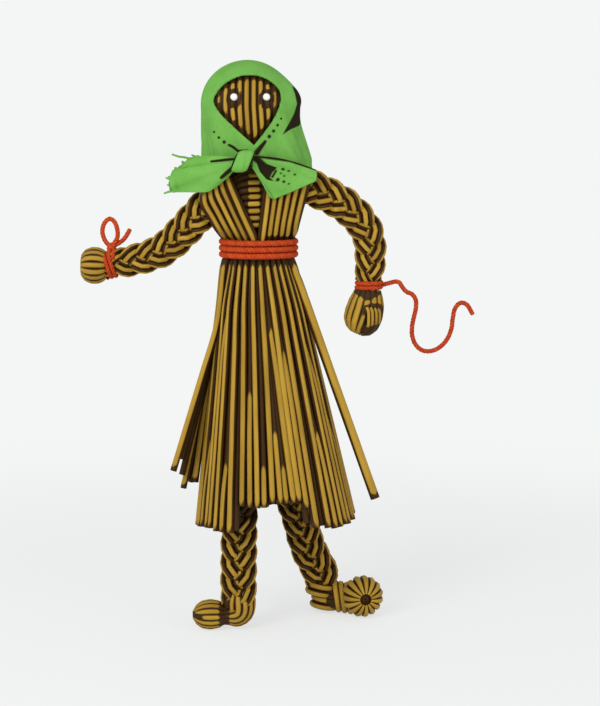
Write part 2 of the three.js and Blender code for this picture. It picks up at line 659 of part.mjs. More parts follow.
function bodicePanel(angles, rows) {
  const share = (i) => (i + 0.5) / BODICE_STRAWS;
  const places = Array.from({ length: BODICE_STRAWS }, (_, i) => share(i));
  const hold = [waistZ + CLEARANCE / 2, waistZ + PINCH_HALF_HEIGHT].map((z) => ({
    middles: places.map((s) => onOval(waistOval, mix(angles[0], angles[1], s), z, -STRAW / 2)),
    outs: places.map((s) => ovalOut(waistOval, mix(angles[0], angles[1], s))),
  }));
  const rest = rows.map(({ inner, outer, out }) => ({
    middles: places.map((s) => inner.clone().lerp(outer, s)),
    outs: places.map(() => out.clone().normalize()),
  }));
  return strawStrip([...hold, ...rest]);
}

const leftRidge = ridgeOver(leftShoulder.z, UPPER_ARM_RADIUS);
const innerRidge = (x) => ridgeOver(crossLine(x), CROSS_HALF_HEIGHT);
const RIDGE_GAP = CLEARANCE / 2 + 0.05;
const SLOPE = point(0, -0.75, 0.66);
const BACK_SLOPE = point(0, 0.75, 0.66);
const [LEFT_INNER_X, LEFT_OUTER_X] = [-18.5, -28.5];
const LEFT_INNER_RIDGE_RISE = 41.6;
const RIGHT_OUTER_X = 25;
const NECK_EASE = 1.2;
const rightInnerX = headMiddle(neckTieTop) + neckTieOutside + NECK_EASE;
const SHOULDER_FALL = 1.2;
const CHEST_FALL = 7;
const RIDGE_RUN = 2.5;
const V_HALF_WIDTH = 2.6;
const V_OPEN_RISE = 24.6;
const V_OPEN_X = [-8, 2.6];
const V_TOP_X = [-13.5, 4.4];
const V_ARCH_SHARE = 0.5;
const BODICE_LOW_RISE = 9.4;
const BODICE_LOW_HALF_WIDTH = 19.8;
const BODICE_LOW_TURN = 0.72;
const BODICE_CHEST_RISE = 14;
const BODICE_CHEST_HALF_WIDTH = 22.6;

function bodiceRows(innerX, outerX, inner, outerRidge, depth, side, slope) {
  const way = Math.sign(outerX);
  const lowY = side * mix(WAIST_HALF_DEPTH, depth, 0.5);
  const lowZ = waistZ + BODICE_LOW_RISE;
  const chestZ = waistZ + BODICE_CHEST_RISE;
  const chestY = side * depth;
  const archY = side * (depth - RIDGE_RUN);
  const ridgeY = side * RIDGE_GAP;
  const openZ = waistZ + V_OPEN_RISE;
  const [openX, topX] = [V_OPEN_X, V_TOP_X].map((edges) => edges[way > 0 ? 1 : 0]);
  const archX = mix(topX, innerX, V_ARCH_SHARE);
  const lowOuter = point(BODICE_LOW_HALF_WIDTH * way, lowY * BODICE_LOW_TURN, lowZ);
  const chestOuter = point(BODICE_CHEST_HALF_WIDTH * way, chestY, chestZ);
  const chestTop = point(outerX, chestY, outerRidge - CHEST_FALL);
  const archOuter = point(outerX, archY, outerRidge - SHOULDER_FALL);
  const facing = point(0, side, 0);
  return [
    row(point(way, lowY, lowZ), lowOuter, point(way / 4, side, 0)),
    row(point(V_HALF_WIDTH * way, chestY, chestZ), chestOuter, facing),
    row(point(openX, chestY, openZ), point(outerX - way, chestY, openZ), facing),
    row(point(topX, chestY, inner - CHEST_FALL), chestTop, facing),
    row(point(archX, archY, inner - SHOULDER_FALL), archOuter, slope),
    row(point(innerX, ridgeY, inner), point(outerX, ridgeY, outerRidge), UP),
  ];
}

const leftInner = waistZ + LEFT_INNER_RIDGE_RISE;
const rightInner = innerRidge(rightInnerX);
const leftRows = (...facing) => bodiceRows(LEFT_INNER_X, LEFT_OUTER_X, leftInner, leftRidge, ...facing);
const rightRows = (...facing) => bodiceRows(rightInnerX, RIGHT_OUTER_X, rightInner, rightRidge, ...facing);
addPiece('bodice_front_left', bodicePanel([-93, -166], leftRows(bodiceFront, -1, SLOPE)), strawMaterial());
addPiece('bodice_front_right', bodicePanel([-87, -14], rightRows(bodiceFront, -1, SLOPE)), strawMaterial());
addPiece('bodice_back_left', bodicePanel([93, 190], leftRows(BODICE_BACK, 1, BACK_SLOPE)), strawMaterial());
addPiece('bodice_back_right', bodicePanel([87, -10], rightRows(BODICE_BACK, 1, BACK_SLOPE)), strawMaterial());

// Waist winding: level turns of yarn that hold bodice and skirt, and the knot behind that ends it.
const waistLift = 2 * CLEARANCE + WAIST_YARN / 2;
const waistRadii = [WAIST_HALF_WIDTH + waistLift, WAIST_HALF_DEPTH + waistLift];
const waistWinding = winding('waist_winding', WAIST_TURNS, WAIST_YARN, ...waistRadii, Math.PI / 2);
addPiece('waist_winding', waistWinding.translate(0, 0, waistZ), threadMaterial());

// Skirt: panels of straight straws round the cone, from under the winding to the ragged hem.
const HEM_CUT = [
  [-180, -3.1], [-119, -0.5], [-116, 11.2], [-94, 11.2], [-88, 14], [-74, 13.8], [-68, 11.2],
  [-64, 1.8], [-40, -0.8], [-20, -1], [0, 1.4], [90, -0.6], [180, -3.1],
];
const ragged = (count) => HEM_RAGGEDNESS * (((count * 7) % 5) / 4 - 0.5);
const hemAt = (degrees, count) => HEM_HEIGHT + between(HEM_CUT, degrees) + ragged(count);

function skirtPanel(index) {
  const span = 360 / SKIRT_PANELS;
  const first = index * span - 180 + PANEL_GAP_ANGLE / 2;
  const step = (span - PANEL_GAP_ANGLE) / STRAWS_PER_PANEL;
  const angles = Array.from({ length: STRAWS_PER_PANEL }, (_, i) => first + (i + 0.5) * step);
  const top = waistZ - SKIRT_TOP_DROP;
  const rowAt = (ovalAt, heightAt) => ({
    middles: angles.map((a, i) => onOval(ovalAt(heightAt(a, i)), a, heightAt(a, i), -STRAW / 2)),
    outs: angles.map((a, i) => ovalOut(ovalAt(heightAt(a, i)), a)),
  });
  return strawStrip([
    rowAt(skirtOval, (a, i) => hemAt(a, index * STRAWS_PER_PANEL + i)),
    rowAt(skirtOval, () => top),
    rowAt(() => waistOval, () => waistZ - PINCH_HALF_HEIGHT),
    rowAt(() => waistOval, () => waistZ - CLEARANCE / 2),
  ]);
}

const PANEL_NAMES = [
  'skirt_left_front', 'skirt_front_left', 'skirt_front_right', 'skirt_right_front',
  'skirt_right_back', 'skirt_back_right', 'skirt_back_left', 'skirt_left_back',
];
PANEL_NAMES.forEach((name, index) => addPiece(name, skirtPanel(index), strawMaterial()));

// Stray straws that stand off the skirt: they start against it, under the winding.
const STRAY_SIDES = 6;

function strayStraw(degrees, bendDrop, tipDrop, tipFlare) {
  const lift = STRAY_STRAW / 2 + CLEARANCE;
  const offSkirt = (drop, flare) => {
    const z = waistZ - SKIRT_TOP_DROP - CLEARANCE - drop;
    return onOval(skirtOval(z), degrees, z, lift + flare);
  };
  const middles = [offSkirt(0, 0), offSkirt(bendDrop, STRAY_STRAW / 4), offSkirt(tipDrop, tipFlare)];
  const rings = middles.map((middle) => Array.from({ length: STRAY_SIDES }, (_, i) => {
    const angle = (i / STRAY_SIDES) * 2 * Math.PI;
    return middle.clone().add(point(Math.cos(angle), Math.sin(angle), 0).multiplyScalar(STRAY_STRAW / 2));
  }));
  return loft(rings);
}

addPiece('stray_straw_left_front', strayStraw(197, 41, 106, 15), strawMaterial());
addPiece('stray_straw_left_middle', strayStraw(182, 43, 118, 6.5), strawMaterial());
addPiece('stray_straw_left_back', strayStraw(167, 45, 117, 4.5), strawMaterial());
addPiece('stray_straw_right', strayStraw(-15, 29, 121, 14.6), strawMaterial());

// Arms: each piece starts as a socket round the ball before it, and ends in a ball or a pinched wrist.
const ahead = (from, to, run) => from.clone().addScaledVector(to.clone().sub(from).normalize(), run);
const NECK_START = 9;
const NECK_END = 5;
const LIP_TAPER = 0.3;
const ELBOW_TAPER = 0.6;

function upperArm(shoulder, elbow) {
  const limb = bundle([
    station(ahead(shoulder, elbow, JOINT_LIP), UPPER_ARM_RADIUS - LIP_TAPER),
    station(shoulder.clone().lerp(elbow, 0.4), UPPER_ARM_RADIUS),
    station(ahead(elbow, shoulder, NECK_START), UPPER_ARM_RADIUS - ELBOW_TAPER),
    station(ahead(elbow, shoulder, NECK_END), JOINT_NECK - LIP_TAPER),
    station(elbow, JOINT_NECK - LIP_TAPER),
  ]);
  return cut(joined(limb, ball(elbow, ELBOW_BALL)), ball(shoulder, SHOULDER_BALL + CLEARANCE));
}

const tieHeight = WRIST_TURNS * (WRIST_THREAD + TURN_GAP) + WRIST_THREAD;
const pinch = tieHeight / 2 + CLEARANCE;
const WRIST_SHOULDER = 3;

function forearm(elbow, bends, wrist) {
  const before = bends.at(-1);
  const limb = bundle([
    station(ahead(elbow, bends[0], JOINT_LIP), FOREARM_RADIUS),
    ...bends.map((bend) => station(bend, FOREARM_RADIUS)),
    station(ahead(wrist, before, pinch + WRIST_SHOULDER), FOREARM_RADIUS - ELBOW_TAPER),
    station(ahead(wrist, before, pinch), WRIST_RADIUS, WRIST_RADIUS),
    station(wrist, WRIST_RADIUS, WRIST_RADIUS),
    station(ahead(wrist, before, -pinch), WRIST_RADIUS, WRIST_RADIUS),
  ]);
  return cut(limb, ball(elbow, ELBOW_BALL + CLEARANCE));
}

// A hand swells beyond the tie and closes round at the end.
const HAND_SWELL = [[0, 0.66], [0.22, 0.92], [0.5, 1], [0.75, 0.9], [0.92, 0.62], [1, 0.25]];

function hand(wrist, before, lean, radius, length) {
  const start = ahead(wrist, before, -pinch - 2 * CLEARANCE);
  const direction = start.clone().sub(wrist).normalize();
  return bundle(HAND_SWELL.map(([share, swell]) => {
    const place = start.clone().addScaledVector(direction, share * length);
    return station(place.addScaledVector(lean, share * share * length), radius * swell);
  }), 12, 1);
}

const leftBend = leftElbow.clone().lerp(leftWrist, 0.45).addScaledVector(UP, -LEFT_FOREARM_SAG);
const rightBends = RIGHT_FOREARM_BENDS.map((bend) => rightElbow.clone().add(point(...bend)));
addPiece('left_upper_arm', upperArm(leftShoulder, leftElbow), strawMaterial());
addPiece('left_forearm', forearm(leftElbow, [leftBend], leftWrist), strawMaterial());
addPiece(
  'left_hand',
  hand(leftWrist, leftBend, point(0, 0, LEFT_HAND_LIFT), LEFT_HAND_RADIUS, LEFT_HAND_LENGTH),
  strawMaterial(),
);
addPiece('right_upper_arm', upperArm(rightShoulder, rightElbow), strawMaterial());
addPiece('right_forearm', forearm(rightElbow, rightBends, rightWrist), strawMaterial());
addPiece(
  'right_hand',
  hand(rightWrist, rightBends[1], point(-RIGHT_HAND_LEAN, 0, 0), RIGHT_HAND_RADIUS, RIGHT_HAND_LENGTH),
  strawMaterial(),
);

// Wrist ties: thread wound round each pinched wrist.
const tieRadius = WRIST_RADIUS + CLEARANCE + WRIST_THREAD / 2;

function wristTie(name, wrist, before, startAngle) {
  const turns = winding(name, WRIST_TURNS, WRIST_THREAD, tieRadius, tieRadius, startAngle);
  const along = wrist.clone().sub(before).normalize();
  const across = along.clone().cross(FRONT).normalize();
  turns.applyMatrix4(new THREE.Matrix4().makeBasis(across, FRONT.clone().negate(), along).setPosition(wrist));
  addPiece(name, turns, threadMaterial());
}

wristTie('left_wrist_tie', leftWrist, leftBend, Math.PI);
wristTie('right_wrist_tie', rightWrist, rightBends[1], 0);

// Left wrist: a knot on the tie, a standing loop that goes back into it, and a short end.
const KNOT_RADIUS = 2.6;
const tieOutside = tieRadius + WRIST_THREAD / 2 + CLEARANCE;
const bowBase = leftWrist.clone().add(point(0.4, 0, tieOutside + KNOT_RADIUS));
const fromBow = (x, y, z) => bowBase.clone().add(point(x, y, z));
const BOW_LOOP = [
  fromBow(-2.3, 0, 1.9), fromBow(-3.7, 0, 4), fromBow(-4.7, 0, 7.2), fromBow(-4.5, 0, 10.4),
  fromBow(-3.2, 0, 13.2), fromBow(-1, 0, 14.8), fromBow(1.3, 0, 13.6), fromBow(2.7, 0, 10.6),
  fromBow(3.2, 0, 7.2), fromBow(2.8, 0, 4.4), fromBow(1.6, 0, 2.7),
];
const BOW_END = [
  fromBow(3, 0.9, 0.1), fromBow(5, 1.2, 1.4), fromBow(7, 1.2, 4.4), fromBow(8.4, 1.1, 7.4),
  fromBow(9.2, 1, 9.4),
];
addPiece('left_wrist_knot', ball(bowBase, KNOT_RADIUS), threadMaterial());
addPiece('left_wrist_loop', tube(BOW_LOOP, WRIST_THREAD, 24), threadMaterial());
addPiece('left_wrist_end', tube(BOW_END, WRIST_THREAD, 6), threadMaterial());

// Right wrist: the thread's long free end, from the side of the tie.
const tailStart = rightWrist.clone().add(point(tieOutside + CLEARANCE, 0, 0));
const fromTie = (x, y, z) => tailStart.clone().add(point(x, y, z));
const THREAD_END = [
  fromTie(0, 0, 0), fromTie(2.5, 0, 0.9), fromTie(5.4, -0.2, 1.9), fromTie(7.8, -0.4, 1.5),
  fromTie(9.4, -0.6, -0.8), fromTie(11.6, -0.8, -2.9), fromTie(14.6, -0.8, -4.2), fromTie(16.4, -0.6, -7.4),
  fromTie(16.6, -0.2, -11.6), fromTie(15.8, 0.2, -16), fromTie(15, 0.6, -20.6), fromTie(15.2, 1, -25.6),
  fromTie(16.9, 1.4, -30), fromTie(20.2, 1.6, -33), fromTie(24.2, 1.6, -33.8), fromTie(28.6, 1.4, -32.2),
  fromTie(32.6, 1, -28.4), fromTie(35.2, 0.6, -23), fromTie(36, 0.2, -17), fromTie(37.2, 0, -11.6),
  fromTie(40, -0.2, -8.9), fromTie(43.2, -0.4, -10), fromTie(46, -0.6, -14.6),
];
addPiece('right_wrist_tail', tube(THREAD_END, WRIST_THREAD, 48), threadMaterial());

// Legs hang from the leg bundle, and their plaits turn out into rolled feet that stand flat.
const leftAnkle = point(LEFT_ANKLE_X, LEFT_ANKLE_Y, ANKLE_HEIGHT);
const rightAnkle = point(RIGHT_ANKLE_X, RIGHT_ANKLE_Y, ANKLE_HEIGHT);

const TOE_CLOSE = [[0.5, 0.87], [0.8, 0.6], [0.97, 0.22]];
const ANKLE_TAPER = 0.4;
const HEEL_TAPER = 1.8;
const INSTEP_SHARE = 0.9;
const FLOOR_SPAN = 400;
const FLOOR_DEPTH = 40;

// A plait's strands swing from side to side once while they go to the front and back twice.
const PLAIT_STRANDS = 3;
const PLAIT_RINGS = 9;
const STRAND_SIDES = 8;
const STRAND_SWING = 0.45;
const STRAND_HALF_WIDTH = 0.54;
const STRAND_HALF_DEPTH = 0.42;
const PLAIT_CORE = 0.62;

function plaitStrand(curve, length, radius, start) {
  const steps = Math.ceil((length / LEG_PLAIT_PERIOD) * PLAIT_RINGS);
  const aheadAt = (share) => {
    const heading = curve.getTangentAt(share);
    return FRONT.clone().addScaledVector(heading, -FRONT.dot(heading)).normalize();
  };
  const middles = Array.from({ length: steps + 1 }, (_, k) => {
    const share = k / steps;
    const swing = 2 * Math.PI * (start - ((1 - share) * length) / LEG_PLAIT_PERIOD);
    const side = curve.getTangentAt(share).cross(aheadAt(share));
    return curve.getPointAt(share)
      .addScaledVector(side, radius * STRAND_SWING * Math.sin(swing))
      .addScaledVector(aheadAt(share), -radius * STRAND_SWING * Math.sin(2 * swing));
  });
  return loft(middles.map((middle, k) => {
    const heading = middles[Math.min(k + 1, steps)].clone().sub(middles[Math.max(k - 1, 0)]).normalize();
    const wide = heading.clone().cross(aheadAt(k / steps)).normalize();
    const deep = wide.clone().cross(heading);
    return Array.from({ length: STRAND_SIDES }, (_, i) => {
      const angle = (i / STRAND_SIDES) * 2 * Math.PI;
      return middle.clone()
        .addScaledVector(wide, radius * STRAND_HALF_WIDTH * Math.cos(angle))
        .addScaledVector(deep, radius * STRAND_HALF_DEPTH * Math.sin(angle));
    });
  }));
}

// The outside of a body, with any hollow in it filled.
function filled(geometry) {
  const shells = toSolid(geometry).decompose();
  return toGeometry(shells.reduce((most, next) => (next.volume() > most.volume() ? next : most)));
}

const THIGH_SHARE = 0.8;

function leg(hipX, bends, ankle, plaitStart) {
  const hip = point(hipX, 0, HIP_HEIGHT);
  const shin = ankle.clone().addScaledVector(UP, LEG_RADIUS);
  const below = ankle.clone().addScaledVector(UP, -LEG_RADIUS / 2);
  const core = LEG_RADIUS * PLAIT_CORE;
  const limb = bundle([
    station(hip, LEG_TOP_RADIUS),
    station(hip.clone().lerp(bends[0], THIGH_SHARE), LEG_RADIUS),
    ...[...bends, shin, below].map((place) => station(place, core)),
  ]);
  const curve = new THREE.CatmullRomCurve3([...bends, shin, below]);
  const length = curve.getLength();
  const strands = Array.from({ length: PLAIT_STRANDS }, (_, i) => {
    return plaitStrand(curve, length, LEG_RADIUS, plaitStart + i / PLAIT_STRANDS);
  });
  const footRoom = new THREE.BoxGeometry(FLOOR_SPAN, FLOOR_SPAN, FLOOR_DEPTH);
  footRoom.translate(0, 0, ankle.z - FLOOR_DEPTH / 2);
  const hipRoom = hipRoll(HIP_RADIUS + CLEARANCE, 2 * HIP_HALF_LENGTH);
  return cut(filled(joined(limb, ...strands)), hipRoom, footRoom);
}

function foot(ankle, toeDirection, reach, toeRadius) {
  const under = (z, radius) => station(point(ankle.x, ankle.y, z), radius);
  const heel = bundle([
    under(ankle.z - CLEARANCE, LEG_RADIUS - ANKLE_TAPER), under(ankle.z / 2, LEG_RADIUS - ANKLE_TAPER),
    under(ankle.z / 4, LEG_RADIUS - HEEL_TAPER), under(-SOLE_FLAT, LEG_RADIUS / 2),
  ]);
  const out = toeDirection.clone().normalize();
  const along = (run, z) => point(ankle.x, ankle.y, z).addScaledVector(out, run);
  const toeHeight = toeRadius - SOLE_FLAT;
  const instep = toeRadius * INSTEP_SHARE;
  const toe = bundle([
    station(along(0, instep), instep * INSTEP_SHARE), station(along(reach / 2, instep), instep),
    station(along(reach, toeHeight), toeRadius, toeRadius),
    ...TOE_CLOSE.map(([run, swell]) => {
      return station(along(reach + run * toeRadius, toeHeight), swell * toeRadius, swell * toeRadius);
    }),
  ], 14, 1);
  const ground = new THREE.BoxGeometry(FLOOR_SPAN, FLOOR_SPAN, FLOOR_DEPTH).translate(0, 0, -FLOOR_DEPTH / 2);
  const legRoom = new THREE.CylinderGeometry(LEG_RADIUS + CLEARANCE, LEG_RADIUS + CLEARANCE, ankle.z, 24);
  legRoom.rotateX(Math.PI / 2).translate(ankle.x, ankle.y, 1.5 * ankle.z - CLEARANCE);
  return cut(joined(heel, toe), ground, legRoom);
}

const LEFT_TOE_OUT = point(-1, -0.1, 0);
const RIGHT_TOE_OUT = point(1, -0.55, 0);
const LEFT_KNEE_OUT = 0.6;
const RIGHT_KNEE_OUT = 0.2;
const RIGHT_SHIN_OUT = 0.62;
const RIGHT_SHIN_BACK = 0.8;
const leftKnee = point(mix(-HIP_SPREAD, LEFT_ANKLE_X, LEFT_KNEE_OUT), LEFT_ANKLE_Y / 2, HIP_HEIGHT / 2);
const rightKnee = point(mix(HIP_SPREAD, RIGHT_ANKLE_X, RIGHT_KNEE_OUT), RIGHT_ANKLE_Y / 2, HIP_HEIGHT / 2);
const rightShinX = mix(HIP_SPREAD, RIGHT_ANKLE_X, RIGHT_SHIN_OUT);
const rightShin = point(rightShinX, RIGHT_ANKLE_Y * RIGHT_SHIN_BACK, HIP_HEIGHT / 4);
addPiece('left_leg', leg(-HIP_SPREAD, [leftKnee], leftAnkle, LEFT_PLAIT_START), strawMaterial());
addPiece('left_foot', foot(leftAnkle, LEFT_TOE_OUT, LEFT_TOE_REACH, LEFT_TOE_RADIUS), strawMaterial());
const rightLeg = leg(HIP_SPREAD, [rightKnee, rightShin], rightAnkle, RIGHT_PLAIT_START);
addPiece('right_leg', rightLeg, strawMaterial());
addPiece('right_foot', foot(rightAnkle, RIGHT_TOE_OUT, RIGHT_TOE_REACH, RIGHT_TOE_RADIUS), strawMaterial());

// The origin is on the floor under the middle of the doll, its free threads aside.
const FREE_THREADS = ['left_wrist_loop', 'left_wrist_end', 'right_wrist_tail'];
const reach = new THREE.Box3();
const bulk = doll.children.filter((mesh) => !FREE_THREADS.includes(mesh.name));
bulk.forEach((mesh) => reach.expandByObject(mesh));
const middle = reach.getCenter(point(0, 0, 0));
doll.position.set(-middle.x, -middle.y, -reach.min.z);

const strawDoll = new THREE.Group();
strawDoll.add(doll);

export default strawDoll;
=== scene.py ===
# %% [markdown]
# # A straw doll
# A harvest doll is made of long dry straws that are bundled, plaited and bound with red thread,
# and it wears a green headscarf. This script lays each straw, each turn of thread and the cloth
# of the scarf over a plain solid model, which is loaded first. All places are in metres in that
# model's own frame: +Z is up, the doll faces -Y, and left and right are as seen from the front.

# %% Load the solid model
import math
import random
from functools import partial

import bmesh
import bpy
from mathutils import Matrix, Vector
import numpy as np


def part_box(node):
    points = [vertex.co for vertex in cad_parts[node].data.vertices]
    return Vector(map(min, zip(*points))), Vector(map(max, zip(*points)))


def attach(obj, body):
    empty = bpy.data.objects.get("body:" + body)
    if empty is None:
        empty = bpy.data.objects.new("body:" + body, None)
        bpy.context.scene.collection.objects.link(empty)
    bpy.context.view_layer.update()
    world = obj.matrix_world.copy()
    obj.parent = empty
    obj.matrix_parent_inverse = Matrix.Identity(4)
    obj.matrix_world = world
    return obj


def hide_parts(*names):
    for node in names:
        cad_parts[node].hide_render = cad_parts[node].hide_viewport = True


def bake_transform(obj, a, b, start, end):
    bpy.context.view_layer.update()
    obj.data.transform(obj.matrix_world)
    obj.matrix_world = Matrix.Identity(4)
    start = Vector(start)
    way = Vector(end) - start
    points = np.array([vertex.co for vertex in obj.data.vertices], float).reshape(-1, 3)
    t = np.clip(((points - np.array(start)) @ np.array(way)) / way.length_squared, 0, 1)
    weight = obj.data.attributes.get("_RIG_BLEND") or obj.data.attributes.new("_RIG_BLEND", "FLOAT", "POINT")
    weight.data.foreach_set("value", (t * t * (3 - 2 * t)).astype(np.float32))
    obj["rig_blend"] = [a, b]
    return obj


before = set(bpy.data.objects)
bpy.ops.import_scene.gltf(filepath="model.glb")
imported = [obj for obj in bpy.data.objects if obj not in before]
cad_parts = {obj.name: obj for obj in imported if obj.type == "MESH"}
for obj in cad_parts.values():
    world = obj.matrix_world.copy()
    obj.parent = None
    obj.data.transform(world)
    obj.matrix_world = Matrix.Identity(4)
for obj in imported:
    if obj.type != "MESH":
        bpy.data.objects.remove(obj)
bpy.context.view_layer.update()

# %% [markdown]
# ## Places on the doll
# The doll is easiest to describe in millimetres from the line through its waist. One helper turns
# such a place into metres in the model's frame, so the sizes below can be read with a ruler.

# %% Places
MM = 0.001
WAIST_LINE = Vector((14.5247, -0.9857, 0.0))
FRONT = Vector((0, -1, 0))
UP = Vector((0, 0, 1))
chance = random.Random(7)


def place(x, y, z):
    """A place on the doll, from millimetres off the waist line to metres in the frame."""
    return (Vector((x, y, z)) + WAIST_LINE) * MM


def mix(a, b, share):
    """The value that lies the given share of the way from a to b."""
    return a + (b - a) * share


def between(keys, at):
    """The value at a place in a list of (place, value) pairs."""
    for (a, low), (b, high) in zip(keys, keys[1:]):
        if at <= b:
            return mix(low, high, max(at - a, 0) / (b - a))
    return keys[-1][1]


print("waist line at", tuple(round(c, 4) for c in place(0, 0, 0)), "m")

# %% [markdown]
# ## Camera
# The doll is seen from the front and a little from above. A long lens far away keeps its
# proportions close to those of a drawing. The frame's height at the doll gives the distance.

# %% Camera
VIEW_TILT = math.radians(8)
LENS = 100
SENSOR = 36
FRAME_HEIGHT = 0.3728
aim = Vector((0.0362, 0, 0.1468))
toward = Vector((0, math.cos(VIEW_TILT), -math.sin(VIEW_TILT)))
camera = bpy.data.objects.new("doll_camera", bpy.data.cameras.new("doll_camera"))
camera.data.lens = LENS
camera.data.sensor_width = SENSOR
camera.location = aim - toward * (FRAME_HEIGHT * LENS / SENSOR)
camera.rotation_euler = (math.pi / 2 - VIEW_TILT, 0, 0)
bpy.context.scene.collection.objects.link(camera)
bpy.context.scene.camera = camera
bpy.context.scene.view_settings.view_transform = "Standard"
print("camera", round((camera.location - aim).length, 3), "m from the doll")

# %% [markdown]
# ## Nodes for the finishes
# A material in Blender is a graph of nodes. These small helpers add a node, set its values and
# link it, so the finishes below read as a list of steps.

# %% Node helpers
MIX_SOCKETS = {"RGBA": (6, 7, 2), "FLOAT": (2, 3, 0)}
SURFACE = {"Color": "NodeSocketColor", "Roughness": "NodeSocketFloat", "Height": "NodeSocketFloat"}


def feed(tree, node, inputs):
    """Links outputs into a node's inputs, or sets plain values there, by name or number."""
    for key, value in inputs.items():
        if isinstance(value, bpy.types.NodeSocket):
            tree.links.new(value, node.inputs[key])
        else:
            node.inputs[key].default_value = value


def add_node(tree, kind, inputs=None, **settings):
    """Adds a node with its settings and feeds its inputs."""
    node = tree.nodes.new(kind)
    for name, value in settings.items():
        setattr(node, name, value)
    feed(tree, node, inputs or {})
    return node


def blended(tree, factor, first, second, kind="RGBA"):
    """A colour, or a plain value, between two, by a factor."""
    low, high, result = MIX_SOCKETS[kind]
    inputs = {0: factor, low: first, high: second}
    return add_node(tree, "ShaderNodeMix", inputs, data_type=kind).outputs[result]


def work_out(tree, operation, first, second=0.5):
    """One step of arithmetic on values."""
    return add_node(tree, "ShaderNodeMath", {0: first, 1: second}, operation=operation).outputs[0]


def spread(tree, value, low, high, to_low=0.0, to_high=1.0):
    """Stretches a value smoothly from one range to another."""
    inputs = dict(enumerate((value, low, high, to_low, to_high)))
    return add_node(tree, "ShaderNodeMapRange", inputs, interpolation_type="SMOOTHSTEP").outputs[0]


def grain(tree, where, stretch, detail=2.0):
    """Noise, stretched along a direction."""
    inputs = {0: where, 1: stretch}
    scaled = add_node(tree, "ShaderNodeVectorMath", inputs, operation="MULTIPLY").outputs[0]
    inputs = {"Vector": scaled, "Scale": 1.0, "Detail": detail}
    return add_node(tree, "ShaderNodeTexNoise", inputs).outputs[0]


def on_object(tree):
    """The place on the object."""
    return add_node(tree, "ShaderNodeTexCoord").outputs["Object"]


def attribute(tree, name, output):
    """Reads what a piece's own mesh says at each point."""
    return add_node(tree, "ShaderNodeAttribute", attribute_name=name).outputs[output]


def new_group(name, *colours):
    """A node group with named colour inputs, those inputs' sockets, and its output node."""
    group = bpy.data.node_groups.new(name, "ShaderNodeTree")
    for label in colours:
        group.interface.new_socket(label, in_out="INPUT", socket_type="NodeSocketColor")
    for label, kind in SURFACE.items():
        group.interface.new_socket(label, in_out="OUTPUT", socket_type=kind)
    given = group.nodes.new("NodeGroupInput")
    sockets = [given.outputs[label] for label in colours]
    return group, sockets, group.nodes.new("NodeGroupOutput")


def new_material(name):
    """A new material and its node tree."""
    material = bpy.data.materials.new(name)
    material.use_nodes = True
    return material, material.node_tree


print("finish outputs:", list(SURFACE))

# %% [markdown]
# ## Grain of a strand
# Straw and thread are both made of fibres that run along a strand. The pieces below carry three
# notes on each point of their mesh: where it lies on its own strand, the strand's tint, and how
# much painted shade it has, which grows where it is turned inwards. The group draws fine fibres
# along the strand with them and paints the flanks dark, as the shade that falls between strands.


# %% Strand group
def strand_group(name, fibre, patch, dark_from, dark_to):
    """Fibres along a strand, patches of tint, and painted shade on the flanks."""
    group, (bright, deep, gap), wanted = new_group(name, "Bright", "Deep", "Gap shade")
    lie = attribute(group, "strand_space", "Vector")
    fibres = grain(group, lie, fibre)
    patches = grain(group, lie, patch)
    tint = work_out(group, "MULTIPLY", attribute(group, "strand_tint", "Fac"), 0.6)
    tone = work_out(group, "ADD", tint, spread(group, patches, 0.35, 0.7, 0.0, 0.4))
    streak = spread(group, fibres, 0.5, 0.72, 0.0, 0.45)
    streaked = blended(group, streak, blended(group, tone, bright, deep), deep)
    # Painted shade: the note of shade, a little uneven, blends the colour towards the gap's shade colour.
    wander = work_out(group, "MULTIPLY", work_out(group, "SUBTRACT", patches, 0.5), 0.16)
    turned = work_out(group, "ADD", attribute(group, "strand_shade", "Fac"), wander)
    feed(group, wanted, {
        "Color": blended(group, spread(group, turned, dark_from, dark_to), streaked, gap),
        "Roughness": spread(group, fibres, 0.3, 0.7, 0.4, 0.66),
        "Height": fibres,
    })
    return group


straw_grain = strand_group("straw_grain", (2600, 2600, 55), (260, 260, 42), 0.16, 0.36)
thread_grain = strand_group("thread_grain", (5200, 5200, 700), (420, 420, 130), 0.3, 0.62)
print("groups:", straw_grain.name, thread_grain.name)

# %% [markdown]
# ## Straw and thread finishes
# Dry straw is golden with a satin side, and red thread is matt. Each finish is a Principled shader
# that takes its colour, roughness and bump from a group, which gets the finish's own colours.

# %% Strand finishes
BUMP_DEPTH = 0.0003


def group_finish(name, group, colours, bump, gloss):
    """A finish from a group, with the colours for the group's inputs in their order."""
    material, tree = new_material(name)
    given = {number: (*colour, 1) for number, colour in enumerate(colours)}
    surface = add_node(tree, "ShaderNodeGroup", given, node_tree=group).outputs
    inputs = {"Strength": bump, "Distance": BUMP_DEPTH, "Height": surface["Height"]}
    feed(tree, tree.nodes["Principled BSDF"], {
        "Base Color": surface["Color"],
        "Roughness": surface["Roughness"],
        "Normal": add_node(tree, "ShaderNodeBump", inputs).outputs["Normal"],
        "Specular IOR Level": gloss,
    })
    return material


# In each list of colours the third is the painted shade between strands.
straw = group_finish(
    "dry_straw", straw_grain, [(0.47, 0.285, 0.034), (0.3, 0.17, 0.016), (0.04, 0.016, 0.001)],
    bump=0.3, gloss=0.14,
)
red_thread = group_finish(
    "red_thread", thread_grain, [(0.6, 0.078, 0.017), (0.43, 0.042, 0.009), (0.12, 0.01, 0.002)],
    bump=0.5, gloss=0.1,
)
print("finishes:", straw.name, red_thread.name)

# %% [markdown]
# ## One straw
# A straw is a long thin tube, and the doll has hundreds. A straight tube is made once for each
# number of rings: a disc, extruded a step at a time, with both ends inset and pushed in where a
# cut end shows its hollow. Then copies of it are bent along a line, ring by ring, which is much
# quicker than extruding each one anew.

